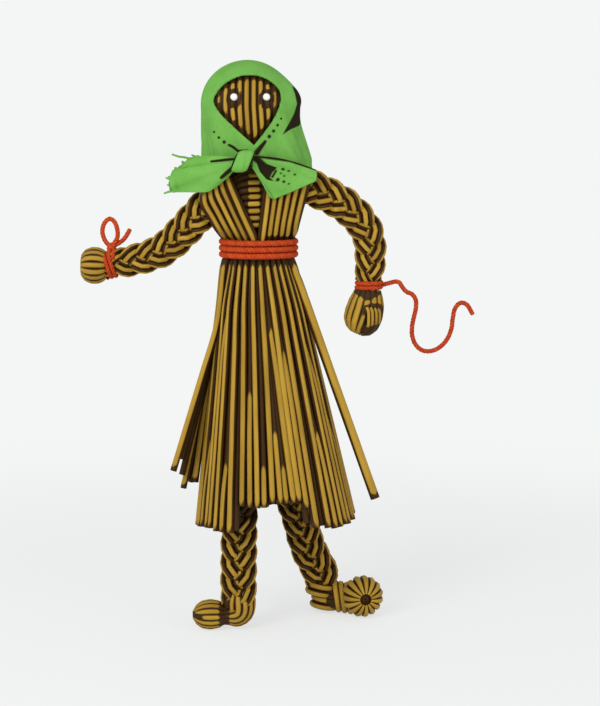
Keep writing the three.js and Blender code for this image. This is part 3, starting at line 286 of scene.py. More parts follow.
# %% Straight tubes
STRAW_SIDES = 8
HOLLOW_RIM = 0.34
HOLLOW_WALL = 0.06
HOLLOW_DEPTH = 0.3
straight_tubes = {}


def straight_tube(rings, sides, hollow):
    """A tube of radius 1 along Z with its rings at heights 0, 1, 2 and so on."""
    if (rings, sides, hollow) in straight_tubes:
        return straight_tubes[rings, sides, hollow]
    bm = bmesh.new()
    bmesh.ops.create_circle(bm, cap_ends=True, radius=1, segments=sides)
    bm.faces.ensure_lookup_table()
    top = bm.faces[0]
    for ring in range(1, rings):
        grown = bmesh.ops.extrude_face_region(bm, geom=[top])["geom"]
        if ring > 1:
            bmesh.ops.delete(bm, geom=[top], context="FACES_ONLY")
        top = next(part for part in grown if isinstance(part, bmesh.types.BMFace))
        bmesh.ops.translate(bm, verts=top.verts, vec=UP)
    if hollow:
        for thickness in (HOLLOW_RIM, HOLLOW_WALL):
            ends = [face for face in bm.faces if len(face.verts) == sides]
            bmesh.ops.inset_individual(bm, faces=ends, thickness=thickness)
        for end in [face for face in bm.faces if len(face.verts) == sides]:
            inwards = HOLLOW_DEPTH if end.calc_center_median().z < rings / 2 else -HOLLOW_DEPTH
            bmesh.ops.translate(bm, verts=end.verts, vec=UP * inwards)
    bmesh.ops.recalc_face_normals(bm, faces=bm.faces[:])
    mesh = bpy.data.meshes.new(f"straight_tube_{rings}_{sides}")
    bm.to_mesh(mesh)
    bm.free()
    straight_tubes[rings, sides, hollow] = mesh
    return mesh


print("a tube of 4 rings has", len(straight_tube(4, STRAW_SIDES, True).polygons), "faces")

# %% [markdown]
# ## Lines for straws to follow
# A few points are enough to say where a straw goes. A smooth curve through them is cut into even
# steps, and at each step the straw's outward side is kept square to the curve.

# %% Lines
FINE_STEPS = 10


def run_lengths(line):
    """How far along a line each of its points is."""
    runs = [0.0]
    for a, b in zip(line, line[1:]):
        runs.append(runs[-1] + (b - a).length)
    return runs


def smooth_line(points, step):
    """A smooth curve through the points, in even steps of about the given millimetres."""
    ends = [points[0] * 2 - points[1], *points, points[-1] * 2 - points[-2]]
    fine = []
    for a, b, c, d in zip(ends, ends[1:], ends[2:], ends[3:]):
        for k in range(FINE_STEPS):
            t = k / FINE_STEPS
            bend = (a * 2 - b * 5 + c * 4 - d) * t * t + (b * 3 - a - c * 3 + d) * t ** 3
            fine.append((b * 2 + (c - a) * t + bend) / 2)
    fine.append(points[-1].copy())
    runs = run_lengths(fine)
    count = max(round(runs[-1] / (step * MM)), 2)
    line, at = [], 0
    for k in range(count + 1):
        want = runs[-1] * k / count
        while at < len(fine) - 2 and runs[at + 1] < want:
            at += 1
        share = (want - runs[at]) / max(runs[at + 1] - runs[at], 1e-9)
        line.append(fine[at].lerp(fine[at + 1], min(share, 1)))
    return line


def line_through(points, step):
    """A smooth line through places on the doll."""
    return smooth_line([place(*point) for point in points], step)


def headings(line):
    """The direction of a line at each of its points."""
    last = len(line) - 1
    return [(line[min(k + 1, last)] - line[max(k - 1, 0)]).normalized() for k in range(last + 1)]


def squared(line, outs):
    """Each point's outward side, made square to the line, and the side across it."""
    frames = []
    for heading, out in zip(headings(line), outs):
        out = (out - heading * out.dot(heading)).normalized()
        frames.append((out, heading.cross(out)))
    return frames


corner = line_through([(0, 0, 0), (10, 0, 0), (10, 10, 0)], 1)
print("a 20 mm corner is cut into", len(corner) - 1, "steps")

# %% [markdown]
# ## Laying a straw
# Laying a straw copies a straight tube into the piece's mesh and bends it along its line. Each
# point then gets its three notes for the finish. A straw that lies behind others is painted dark
# all round, as the shade it lies in.

# %% Straws
SHARP_EDGE = math.radians(80)
# Painted shade: the hollow of a cut end is dark, and a straw that lies behind others is dark as the shade it
# lies in.
HOLLOW_REACH = 0.61  # nearer the middle of a cut end is its dark hollow
BEHIND_SHADE = 0.85  # how dark a straw is that lies behind others


def new_piece():
    """An empty mesh with room for the notes that the strand finishes read."""
    bm = bmesh.new()
    bm.verts.layers.float_vector.new("strand_space")
    bm.verts.layers.float.new("strand_tint")
    bm.verts.layers.float.new("strand_shade")
    return bm


def lay_strand(
    bm, line, thick, outs, dark=0.0, thin=1.0, widths=None,
    hollow=False, sides=STRAW_SIDES, shade=None, both=False,
):
    """Bends a tube of the given thickness in millimetres along a line.

    The higher thin is, the more of the straw's flanks get painted shade. It is one number, or one
    for each point of the line. Dark paints shade over the whole straw, and shade tells how much
    painted shade it has at a point. With both, the back of the straw is as bright as its front.
    """
    space = bm.verts.layers.float_vector["strand_space"]
    tint = bm.verts.layers.float["strand_tint"]
    depth = bm.verts.layers.float["strand_shade"]
    first = len(bm.verts)
    bm.from_mesh(straight_tube(len(line), sides, hollow))
    bm.verts.ensure_lookup_table()
    runs = run_lengths(line)
    frames = squared(line, outs)
    start, tone = chance.uniform(0, 9), chance.random()
    thins = thin if isinstance(thin, list) else [thin] * len(line)
    widths = widths or [1.0] * len(line)
    for vertex in bm.verts[first:]:
        x, y, z = vertex.co
        ring = min(int(z + 1e-4), len(line) - 2)
        share = z - ring
        radius = thick / 2 * MM * mix(widths[ring], widths[ring + 1], share)
        out = frames[ring][0].lerp(frames[ring + 1][0], share)
        across = frames[ring][1].lerp(frames[ring + 1][1], share)
        vertex.co = line[ring].lerp(line[ring + 1], share) + (out * x + across * y) * radius
        along = mix(runs[ring], runs[ring + 1], share) + start
        vertex[space] = Vector((x * radius, y * radius, along))
        vertex[tint] = tone
        # Painted shade: dark in the hollow of a cut end and on the flanks that turn inwards, and more from
        # dark and shade.
        reach = math.hypot(x, y)
        facing = abs(x) if both else x
        thinned = mix(thins[ring], thins[ring + 1], share)
        inward = 1.0 if reach < HOLLOW_REACH else min(thinned * (1 - facing / reach) / 2, 1.0)
        vertex[depth] = mix(inward, 1.0, max(dark, shade(vertex.co) if shade else 0.0))


def finish_piece(bm, name, material, nodes=()):
    """Turns a finished mesh into a piece that stands for its solid nodes."""
    mesh = bpy.data.meshes.new(name)
    bm.to_mesh(mesh)
    bm.free()
    mesh.materials.append(material)
    mesh.shade_smooth()
    mesh.set_sharp_from_angle(angle=SHARP_EDGE)
    piece = bpy.data.objects.new(name, mesh)
    bpy.context.scene.collection.objects.link(piece)
    if nodes:
        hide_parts(*nodes)
    print(f"{name}: {len(mesh.polygons)} faces")
    return piece


def straw_piece(bm, name, body, *nodes):
    """A piece of straw that moves with one body."""
    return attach(finish_piece(bm, name, straw, nodes), body)


def thread_piece(bm, name, body, *nodes):
    """A piece of thread that moves with one body."""
    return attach(finish_piece(bm, name, red_thread, nodes), body)


# %% [markdown]
# ## Twisted thread
# The red thread is three plies twisted together. Each ply is a thin strand that winds round the
# thread's own line, so the twist is real shape and not a painted pattern.

# %% Twisted thread
PLIES = 3
PLY_SIDES = 6
PLY_SHARE = 0.6
PLY_REACH = 0.2
TWIST = 5.5


def carried(line):
    """A side of the line, carried along it without twisting."""
    heading = headings(line)
    guess = FRONT if abs(heading[0].dot(FRONT)) < 0.9 else UP
    sides = []
    for forward in heading:
        guess = (guess - forward * guess.dot(forward)).normalized()
        sides.append(guess)
    return sides


def lay_thread(bm, line, thick):
    """Three plies twisted along a line, with one full turn in each length of TWIST millimetres."""
    runs = run_lengths(line)
    frames = squared(line, carried(line))
    for ply in range(PLIES):
        turns = [2 * math.pi * (ply / PLIES + run / (TWIST * MM)) for run in runs]
        outs = [a * math.cos(t) + b * math.sin(t) for (a, b), t in zip(frames, turns)]
        ply_line = [p + out * thick * PLY_REACH * MM for p, out in zip(line, outs)]
        lay_strand(bm, ply_line, thick * PLY_SHARE, outs, sides=PLY_SIDES)


def thread_along(line, thick, name, body, node):
    """A thread along a line, as a piece of its own."""
    bm = new_piece()
    lay_thread(bm, line, thick)
    return thread_piece(bm, name, body, node)


# %% [markdown]
# ## The two free ends of thread
# Each wrist is tied, and the thread that is left over stands off: at the left wrist a loop and a
# short end out of a small knot, at the right wrist one long wavy end. Their lines are given as
# offsets from where they start.

# %% Free threads
WRIST_THREAD = 2.7
left_wrist, right_wrist = Vector((-78, -5, 193.5)), Vector((58.1, -5, 183.2))
bow = left_wrist + Vector((1.6, 0, 9.8))
tie_side = right_wrist + Vector((7.9, 0, 0))
LOOP = [
    (-1, 0, 0.7), (-2.3, 0, 1.9), (-3.7, 0, 4), (-4.7, 0, 7.2), (-4.5, 0, 10.4), (-3.2, 0, 13.2),
    (-1, 0, 14.8), (1.3, 0, 13.6), (2.7, 0, 10.6), (3.2, 0, 7.2), (2.8, 0, 4.4), (1.6, 0, 2.7),
    (0.6, 0, 1),
]
SHORT_END = [(0.8, 0.6, 0.8), (2.8, 0.9, 1.6), (5, 1.2, 3), (7.4, 1.2, 5.6), (9.4, 1, 9.2)]
LONG_END = [
    (-1.4, 0, 0.4), (2.2, 0, 1.3), (5.2, -0.2, 2.1), (7.6, -0.4, 1.6), (9.2, -0.6, -0.9),
    (11.4, -0.8, -3.2), (14.4, -0.8, -4.6), (16.2, -0.6, -7.6), (16.3, -0.2, -11.8),
    (15.4, 0.2, -16.2), (14.5, 0.6, -21), (14.5, 1, -26.2), (16.2, 1.4, -31), (19.6, 1.6, -34.2),
    (24, 1.6, -34.8), (28.6, 1.4, -33), (32.6, 1, -28.8), (35, 0.6, -23), (35.7, 0.2, -17),
    (36.9, 0, -11.8), (39.8, -0.2, -9), (43.1, -0.4, -10.2), (46, -0.6, -15),
]


def thread_line(start, offsets, step=0.7):
    """The line of a thread, from its offsets from a start."""
    return line_through([start + Vector(offset) for offset in offsets], step)


loop_line, short_line = thread_line(bow, LOOP), thread_line(bow, SHORT_END)
long_line = thread_line(tie_side, LONG_END)
wrist_loop, wrist_end, wrist_tail = [
    thread_along(line, WRIST_THREAD, f"{node}_thread", body, node)
    for line, body, node in (
        (loop_line, "left_forearm", "left_wrist_loop"),
        (short_line, "left_forearm", "left_wrist_end"),
        (long_line, "right_forearm", "right_wrist_tail"),
    )
]

# %% [markdown]
# The knot that the loop grows from is three turns of the same thread drawn up tight, and two short
# strands hold it to the tie.

# %% Left wrist knot
KNOT_TURNS = [(0.5, 1.7), (-0.6, 1.6), (1.6, 1.3)]
bm = new_piece()
turn = [2 * math.pi * k / 16 for k in range(17)]
for tilt, size in KNOT_TURNS:
    across = Vector((math.cos(tilt), 0, math.sin(tilt)))
    ring = [bow + across * size * math.cos(t) + FRONT * size * math.sin(t) for t in turn]
    lay_thread(bm, [place(*point) for point in ring], WRIST_THREAD)
for aside in (-1.2, 1.2):
    hold = [(aside, -1, -0.5), (aside * 0.9, -3.6, -3.4), (aside * 0.8, -5.6, -6)]
    lay_thread(bm, thread_line(bow, hold, 0.8), WRIST_THREAD)
wrist_knot = thread_piece(bm, "left_wrist_knot_thread", "left_forearm", "left_wrist_knot")

# %% [markdown]
# ## Wound thread
# The waist, the wrists and the neck are bound with turns of thread. A winding's line goes round an
# oval and rises from turn to turn by a given pitch. At the waist the turns are level in front and
# step up at the back, and the yarn there is thicker.

# %% Windings
TURN_STEPS = 36
WAIST_YARN = 3.6
WRIST_WINDING = 2.6
NECK_THREAD = 1.7
left_bend, right_bend = Vector((-62.05, -5, 197.3)), Vector((58.9, -5, 194.8))
left_along = (left_wrist - left_bend).normalized()
right_along = (right_wrist - right_bend).normalized()


def winding_line(middle, along, half_width, half_depth, turns, pitch, start, level=0.0):
    """The line of a winding. Level is the share of each half turn that doesn't rise."""
    across = along.cross(FRONT).normalized()
    points = []
    for k in range(round(turns * TURN_STEPS) + 1):
        angle = start + 2 * math.pi * k / TURN_STEPS
        half_turn = (k / TURN_STEPS) % 1 * 2 - 1
        climb = math.copysign(max(abs(half_turn) - level, 0) / (1 - level), half_turn)
        rise = (k // TURN_STEPS + (climb + 1) / 2 - turns / 2) * pitch
        round_it = across * half_width * math.cos(angle) - FRONT * half_depth * math.sin(angle)
        points.append(middle + round_it + along * rise)
    return line_through(points, 0.8)


waist_turns = winding_line(Vector((0, 0, 202.7)), UP, 19.2, 15.7, 3, 3.3, math.pi / 2, 0.55)
left_turns = winding_line(left_wrist + UP * 0.6, left_along, 6.4, 6.2, 2, 2.3, math.pi)
right_middle = right_wrist + Vector((-0.4, 0, 1))
right_turns = winding_line(right_middle, right_along, 6.3, 6.2, 2, 2.3, 0)
neck_turns = winding_line(Vector((-3.8, 0, 246.5)), UP, 10.9, 10.9, 2, 1.7, math.pi / 2)
thread_along(waist_turns, WAIST_YARN, "waist_yarn", "torso", "waist_winding")
thread_along(left_turns, WRIST_WINDING, "left_wrist_thread", "left_forearm", "left_wrist_tie")
thread_along(right_turns, WRIST_WINDING, "right_wrist_thread", "right_forearm", "right_wrist_tie")
thread_along(neck_turns, NECK_THREAD, "neck_thread", "torso", "neck_tie")

# %% [markdown]
# ## Bundles
# Hands, feet, the trunk and the hips are bundles: straws side by side round an axis, swelling and
# closing with it. A bundle takes its axis and its half-width along the way, and lays a straw along
# each line round it. A few straws inside, painted dark as the shade in the bundle, fill the gaps.

# %% Bundles
NARROWEST = 0.42
FULLNESS = 1.1
LEAST_REACH = 0.3
CORE_STRAWS = 8
CORE_STRAW = 3.4


def axis_frames(axis):
    """The side and the front of a limb at each point of its axis."""
    frames = []
    for heading in headings(axis):
        ahead = (FRONT - heading * FRONT.dot(heading)).normalized()
        frames.append((heading.cross(ahead), ahead))
    return frames


def bundle(bm, axis, sizes, count, thick, flat=0.92, **look):
    """Lays straws round an axis. Sizes are (share of the way, half-width) pairs in millimetres."""
    runs = run_lengths(axis)
    frames = axis_frames(axis)
    halves = [between(sizes, run / runs[-1]) for run in runs]
    widest = max(halves)
    widths = [min(1.0, max(half / widest, NARROWEST) * FULLNESS) for half in halves]
    for i in range(count):
        angle = 2 * math.pi * (i + 0.5) / count
        cos, sin = math.cos(angle), math.sin(angle)
        outs = [side * cos + ahead * sin for side, ahead in frames]
        line = []
        for point, half, width, (side, ahead) in zip(axis, halves, widths, frames):
            reach = max(half - thick * width / 2, LEAST_REACH) * MM
            line.append(point + side * cos * reach + ahead * sin * reach * flat)
        lay_strand(bm, line, thick, outs, widths=widths, **look)


def shaded_core(bm, axis, sizes):
    """The straws inside a bundle, painted dark as the shade in its gaps."""
    bundle(bm, axis, sizes, CORE_STRAWS, CORE_STRAW, dark=BEHIND_SHADE)


# %% [markdown]
# ## Trunk and hips
# The trunk runs from the hips up behind the chest to the neck. Little of it shows, so its straws
# are few and painted dark as the shade behind the bodice, but the gaps in the bodice then show
# straw behind straw. The hips are a short bundle laid crosswise, a little darkened by painted shade.

# %% Trunk and hips
TRUNK = [
    (0, 0, 187), (0, 0, 205), (-1.7, 6.3, 221), (-1.7, 6.3, 230), (-3.5, 1, 237), (-3.5, 0, 240.4),
]
TRUNK_SIZES = [(0, 9.4), (0.5, 9), (0.75, 6.4), (1, 6.2)]
HIPS = [(-12.4, 0, 186), (0, 0, 186), (12.4, 0, 186)]
HIP_SIZES = [(0, 8.5), (1, 8.5)]
bm = new_piece()
bundle(bm, line_through(TRUNK, 3), TRUNK_SIZES, 12, 4.4, flat=0.85, dark=0.3)
straw_piece(bm, "trunk_straws", "torso", "body_bundle")
bm = new_piece()
bundle(bm, line_through(HIPS, 4), HIP_SIZES, 14, 3.6, flat=1, dark=0.2, hollow=True)
straw_piece(bm, "hip_straws", "torso", "leg_bundle")

# %% [markdown]
# ## Outlines as seen from the front
# Shade, creases and the opening of the scarf are easiest to say as places seen from the front: so
# far to the side and so high. These helpers measure how near such a place is to a line and how far
# inside an outline it lies. The outline of the face is a closed curve of four bends.

# %% Outlines
CURVE_STEPS = 10
FACE_CURVES = [
    [(-4, 292.4), (-12, 292.4), (-20, 287), (-22.6, 280.5)],
    [(-22.6, 280.5), (-24, 275), (-13, 266.6), (-1.8, 256.6)],
    [(-1.8, 256.6), (4, 263), (12.8, 274), (12.3, 281.5)],
    [(12.3, 281.5), (11.6, 287), (4, 292.4), (-4, 292.4)],
]


def limited(value):
    """The value, kept between 0 and 1."""
    return max(0.0, min(value, 1.0))


def ramp(value, start, end):
    """0 up to the start, 1 from the end on, and in proportion between them."""
    return limited((value - start) / (end - start))


def from_front(point):
    """Where a point of a mesh lies as seen from the front, in millimetres."""
    return point.x / MM - WAIST_LINE.x, point.z / MM


def from_line(x, z, line):
    """The distance from a place to a line in millimetres, and the share along the line."""
    best = (1e9, 0.0)
    for i, ((ax, az), (bx, bz)) in enumerate(zip(line, line[1:])):
        dx, dz = bx - ax, bz - az
        t = limited(((x - ax) * dx + (z - az) * dz) / (dx * dx + dz * dz))
        away = math.hypot(x - ax - dx * t, z - az - dz * t)
        best = min(best, (away, (i + t) / (len(line) - 1)))
    return best


def in_outline(x, z, outline):
    """Whether a place lies inside a closed outline."""
    inside = False
    for (ax, az), (bx, bz) in zip(outline, outline[1:] + outline[:1]):
        if (az > z) != (bz > z) and x < mix(ax, bx, (z - az) / (bz - az)):
            inside = not inside
    return inside


def inside_by(x, z, outline):
    """How far inside a closed outline a place lies, in millimetres. It is less than 0 outside."""
    away, _ = from_line(x, z, outline + outline[:1])
    return away if in_outline(x, z, outline) else -away


def curve_of(points):
    """Places along a curve given by two ends and two handles."""
    a, b, c, d = [Vector(p) for p in points]
    for k in range(CURVE_STEPS):
        t = k / CURVE_STEPS
        yield a * (1 - t) ** 3 + b * 3 * t * (1 - t) ** 2 + c * 3 * t * t * (1 - t) + d * t ** 3


face_outline = [tuple(p) for curve in FACE_CURVES for p in curve_of(curve)]
print("face outline:", len(face_outline), "places")

# %% [markdown]
# ## Head
# Each straw of the head rises up the front, arches over the top and comes down the back, and all
# are pinched together at the neck. They stay parallel across the face and bunch up only below the
# chin. A second layer, painted dark as the shade between them, fills the gaps. The straws get
# painted shade round the eyes, where the beads are sunk in, and towards the rim of the face, where
# the scarf shades them.

# %% Head
HEAD_STRAW = 3.2
HEAD_GAP_STRAW = 3.4
HEAD_SPACING = 3.5
HEAD_MIDDLE = -5.5
HEAD_WIDEST = 276
HEAD_HALF = 22
HEAD_DEPTH = 20
NECK_MIDDLE = -3.5
NECK_TOP = 241
NECK_HALF = 6.2
FACE_HEIGHTS = (242, 247, 253, 260, 267, 272)
BUNCHED = 0.86
EYES = [(-11.9, 281), (4.6, 281)]


def up_the_face(z):
    """The share of the way from the neck to where the head is widest."""
    return (z - NECK_TOP) / (HEAD_WIDEST - NECK_TOP)


def head_half(z, half):
    """Half the head's width or depth at a height of the face."""
    return mix(NECK_HALF, half, math.sin(up_the_face(z) * math.pi / 2))


def head_arch(across, sink):
    """The line of a straw over the head, some millimetres to the side and below the surface."""
    arch = math.sqrt(1 - (across / HEAD_HALF) ** 2)
    rise = []
    for angle in [math.pi * k / 12 for k in range(13)]:
        y = -math.cos(angle) * (HEAD_DEPTH - sink) * arch
        z = HEAD_WIDEST + math.sin(angle) * (HEAD_HALF - sink) * arch
        rise.append((HEAD_MIDDLE + across, y, z))
    front = []
    for z in FACE_HEIGHTS:
        half = head_half(z, HEAD_HALF) - sink
        lean = max(min(across, BUNCHED * half), -BUNCHED * half)
        y = (head_half(z, HEAD_DEPTH) - sink) * math.sqrt(1 - (lean / half) ** 2)
        front.append((mix(NECK_MIDDLE, HEAD_MIDDLE, up_the_face(z)) + lean, y, z))
    return line_through([*((x, -y, z) for x, y, z in front), *rise, *reversed(front)], 1.7)


def head_outs(line):
    """Away from the middle of the head."""
    core = place(HEAD_MIDDLE, 0, 266)
    return [Vector(((p.x - core.x) * 0.5, p.y - core.y, max(p.z - core.z, 0))) for p in line]


def face_shade(point):
    """How much painted shade the straw has: round the sunk beads and under the scarf's edge."""
    x, z = from_front(point)
    edge = ramp(inside_by(x, z, face_outline), 2.6, 1.0)
    eye = min(math.hypot((x - ex) / 3, (z - ez + 0.9) / 4.2) for ex, ez in EYES)
    return 0.85 * max(edge, ramp(eye, 1.25, 0.95))


bm = new_piece()
for i in range(11):
    arch = head_arch((i - 5) * HEAD_SPACING, HEAD_STRAW / 2)
    lay_strand(bm, arch, HEAD_STRAW, head_outs(arch), thin=2.0, shade=face_shade)
for i in range(10):
    arch = head_arch((i - 4.5) * HEAD_SPACING, HEAD_STRAW)
    lay_strand(bm, arch, HEAD_GAP_STRAW, head_outs(arch), dark=BEHIND_SHADE)
straw_piece(bm, "head_straws", "torso", "head_bundle")

# %% [markdown]
# ## Eyes
# The eyes are round white beads, a little cloudy and glazed.

# %% Bead finish
bead_white, tree = new_material("white_bead")
clouds = grain(tree, on_object(tree), (900, 900, 900))
feed(tree, tree.nodes["Principled BSDF"], {
    "Base Color": blended(tree, clouds, (0.93, 0.91, 0.86, 1), (0.82, 0.79, 0.72, 1)),
    "Roughness": spread(tree, clouds, 0.3, 0.7, 0.16, 0.3),
    "Coat Weight": 0.3,
})
print("finish:", bead_white.name)

# %% [markdown]
# A bead is turned from a small arc that is spun round the bead's own hole. The hole lies level, so
# that the thread that holds the bead goes in at the sides.

# %% Beads
BEAD_STEPS = 12
BEAD_TURNS = 28
HOLE_ANGLE = 16
HOLE_HALF_LENGTH = 0.6
HOLE_RADIUS = 0.22


def bead(name, node, shift):
    """A bead spun round its hole, near the place of its solid node."""
    low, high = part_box(node)
    middle, radius = (low + high) / 2 + Vector(shift) * MM, (high.x - low.x) / 2
    bm = bmesh.new()
    profile = []
    for k in range(BEAD_STEPS + 1):
        angle = math.radians(HOLE_ANGLE + (180 - 2 * HOLE_ANGLE) * k / BEAD_STEPS)
        on_arc = Vector((math.cos(angle), 0, math.sin(angle)))
        profile.append(bm.verts.new(middle + on_arc * radius))
    hole = []
    for end in (HOLE_HALF_LENGTH, -HOLE_HALF_LENGTH):
        hole.append(bm.verts.new(middle + Vector((end, 0, HOLE_RADIUS)) * radius))
    edges = [bm.edges.new(pair) for pair in zip(profile, profile[1:])]
    for pair in ((hole[0], profile[0]), (profile[-1], hole[1]), hole):
        edges.append(bm.edges.new(pair))
    bmesh.ops.spin(
        bm, geom=profile + hole + edges, cent=middle, axis=(1, 0, 0), angle=2 * math.pi,
        steps=BEAD_TURNS, use_merge=True,
    )
    bmesh.ops.remove_doubles(bm, verts=bm.verts[:], dist=1e-6)
    bmesh.ops.recalc_face_normals(bm, faces=bm.faces[:])
    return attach(finish_piece(bm, name, bead_white, [node]), "torso")


bead("left_eye_bead", "left_eye", (1.5, -0.5, 0))
bead("right_eye_bead", "right_eye", (1, 0.4, 0))

# %% [markdown]
# ## Chest
# One bundle of straws is laid crosswise through the body. Its middle shows in the V of the neck as
# level straws, one above the other, and its ends are plaited into the arms. The level straws get
# painted shade at both sides of the V. A second row behind them, and a few straws above that close
# the gap under the scarf's knot, are painted dark as the shade there.

# %% Chest
CHEST_STRAW = 3.2
CHEST_MIDDLE = 226.5
CHEST_HALF = 11
CHEST_ENDS = [(-21, -5.5, 0.62), (-15, -8, 0.85), (15, -8, 0.85), (21, -5.5, 0.62)]
ABOVE_CHEST = [(238.2, -8.6), (240.6, -8.6), (243, -10), (245.2, -13)]


def shoulder_line(x):
    """The height of the line from shoulder to shoulder."""
    return mix(221.5, 232.5, (x + 25) / 51)


def chest_shade(point):
    """Painted shade on a level straw: it stays bright only in the middle of the V."""
    x, _ = from_front(point)
    return 0.9 * max(ramp(x, -4.6, -6.2), ramp(x, 0.9, 2.5))


def chest_straw(bm, up, front, thin, dark):
    """One straw of the chest: level across the middle, and gathered towards the two arms."""
    points = [(x, y, shoulder_line(x) + CHEST_HALF * up * squeeze) for x, y, squeeze in CHEST_ENDS]
    level = CHEST_MIDDLE + CHEST_HALF * up
    points[2:2] = [(-7, front, level - 0.4), (4, front, level + 0.4)]
    line = line_through(points, 1.5)
    outs = [FRONT + UP * up * 0.4] * len(line)
    lay_strand(bm, line, CHEST_STRAW, outs, dark, thin, shade=chest_shade)


bm = new_piece()
for i in range(8):
    up = -0.97 + 0.32 * i
    chest_straw(bm, up, -11.5 + 3 * max(up - 0.9, 0), 1.3, 0.0)
    chest_straw(bm, up + 0.16, -9.4, 1.0, BEHIND_SHADE)
for z, front in ABOVE_CHEST:
    line = line_through([(-15.5, front + 2, z), (-4, front, z + 0.4), (8, front + 2, z + 0.8)], 2)
    lay_strand(bm, line, CHEST_STRAW, [FRONT] * len(line), dark=BEHIND_SHADE)
straw_piece(bm, "chest_straws", "torso", "arm_bundle")

# %% [markdown]
# ## Bodice
# Straws run from under the yarn at the waist up the front, over each shoulder and down the back to
# the waist again, and leave a V open at the neck. Each straw is one piece from front to back, so
# its line goes through every row of places between its side's inner and outer edge.

# %% Bodice
BODICE_STRAW = 3.5
WAIST_OVAL = (0.0, 17.6, 14.0)
FOOT_OVAL = (0.0, 19.5, 16.2)
UNDER_YARN = (200.5, 204.8)
ABOVE_YARN = 208.9
CHEST_FRONT = 15.66
CHEST_BACK = 14.4
LEFT_EDGES = ((-12.9, -18, 243), (-28.5, 232.85))
RIGHT_EDGES = ((4.2, 10.3, 242.9), (25.8, 243.85))


def on_oval(oval, degrees, z, sink=0.0):
    """A place on an oval (middle, half-width, half-depth), sunk below it by some millimetres."""
    angle = math.radians(degrees)
    x, half_width, half_depth = oval
    side = x + (half_width - sink) * math.cos(angle)
    return Vector((side, (half_depth - sink) * math.sin(angle), z))


def bodice_rows(neck_edge, outer_edge, depth, side, angles):
    """Rows from the waist up to the shoulder, and its ridge, as places at inner and outer edge."""
    top_x, ridge_x, ridge = neck_edge
    outer_x, outer_ridge = outer_edge

    def row_below(inner_x, y, drop):
        return [Vector((inner_x, y, ridge - drop)), Vector((outer_x, y, outer_ridge - drop))]

    chest, arch = side * depth, side * (depth - 2.5)
    foot = [on_oval(FOOT_OVAL, a, ABOVE_YARN) for a in angles]
    head = row_below(top_x, chest, 7)
    rows = [[on_oval(WAIST_OVAL, a, z, 1.5) for a in angles] for z in UNDER_YARN]
    rows.append(foot)
    for share in (0.3, 0.65):
        row = [a.lerp(b, share) for a, b in zip(foot, head)]
        rows.append([Vector((p.x, mix(p.y, chest, 0.7), p.z)) for p in row])
    rows += [head, row_below(mix(top_x, ridge_x, 0.5), arch, 1.2)]
    return rows, row_below(ridge_x, 0, 0)


def waist_shade(point):
    """Painted shade on the right side just above the yarn."""
    x, z = from_front(point)
    return 0.8 * ramp(z, 209.6, 208) * ramp(x, 3, 5)


def bodice_side(name, count, edges, front_angles, back_angles, *nodes):
    """One shoulder's straws: a bright layer, and straws behind its gaps painted dark as shade."""
    front, ridge = bodice_rows(*edges, CHEST_FRONT, -1, front_angles)
    back, _ = bodice_rows(*edges, CHEST_BACK, 1, back_angles)
    rows = [*front, ridge, *reversed(back)]
    middle = place(0, 0, 222).z
    bm = new_piece()
    for straws, sink, dark in ((count, 0.0, 0.0), (count + 1, 1.7, BEHIND_SHADE)):
        for i in range(straws):
            share = (i + 0.5) / straws if dark == 0 else mix(0.02, 0.98, i / (straws - 1))
            share += chance.uniform(-0.012, 0.012)
            line = line_through([a.lerp(b, share) for a, b in rows], 2.4)
            outs = [Vector((0.12 * p.x, p.y + 0.001, 0.9 * max(p.z - middle, 0))) for p in line]
            line = [p - out.normalized() * sink * MM for p, out in zip(line, outs)]
            thick = BODICE_STRAW * chance.uniform(0.94, 1.04)
            widths = [mix(0.76, 1, ramp(p.z / MM, 206, 210)) for p in line]
            lay_strand(bm, line, thick, outs, dark, 2.3, widths, shade=waist_shade)
    return straw_piece(bm, name, "torso", *nodes)


bodice_side(
    "bodice_left_straws", 5, LEFT_EDGES, (-93, -166), (93, 190),
    "bodice_front_left", "bodice_back_left",
)
bodice_side(
    "bodice_right_straws", 6, RIGHT_EDGES, (-87, -14), (87, -10),
    "bodice_front_right", "bodice_back_right",
)

# %% [markdown]
# ## Skirt
# The skirt's straws are held under the yarn at the waist and spread to a cone. At the waist there
# is only room for every other straw, so the rest start behind their neighbours and come forward
# between them further down, painted dark as shade while they lie behind. A layer behind, painted
# dark as the shade in the gaps, fills them. The hem is cut unevenly: it is high in the middle of
# the front. The straws get painted shade under the yarn and are darker at their cut ends.

# %% Skirt
SKIRT_STRAW = 3.7
SEAM_STRAW = 3.2
GAP_STRAW = 3.4
SKIRT_TOP = 193
SKIRT_DROP = 134.4
TOP_OVAL = (0, 20, 16.5)
HEM_OVAL = (9, 43, 41)
HEM = [
    (-180, 55.5), (-119, 58.4), (-116, 71.4), (-94, 71.6), (-88, 73.6), (-74, 73.8), (-68, 72),
    (-64, 61.4), (-40, 59), (-20, 58.8), (0, 60.4), (90, 58), (180, 55.5),
]
SKIRT_WIDTHS = [(-201, 0.8), (-185, 0.84), (-150, 1), (0, 1)]
SKIRT_THINS = [(-201, 2), (-170, 1.7), (-110, 1.45), (-55, 1.15)]
PANELS = [
    "skirt_left_front", "skirt_front_left", "skirt_front_right", "skirt_right_front",
    "skirt_right_back", "skirt_back_right", "skirt_back_left", "skirt_left_back",
]
STRAWS_PER_PANEL = 7
SEAM = -81
SEAM_PANEL = "skirt_front_right"
SEAM_STRAWS = [(-84.5, 107), (-80, 90)]
BARE_GAPS = (9, 19)


def skirt_oval(z):
    """The cone's oval at a height."""
    share = (SKIRT_TOP - z) / SKIRT_DROP
    return [mix(top, hem, share) for top, hem in zip(TOP_OVAL, HEM_OVAL)]


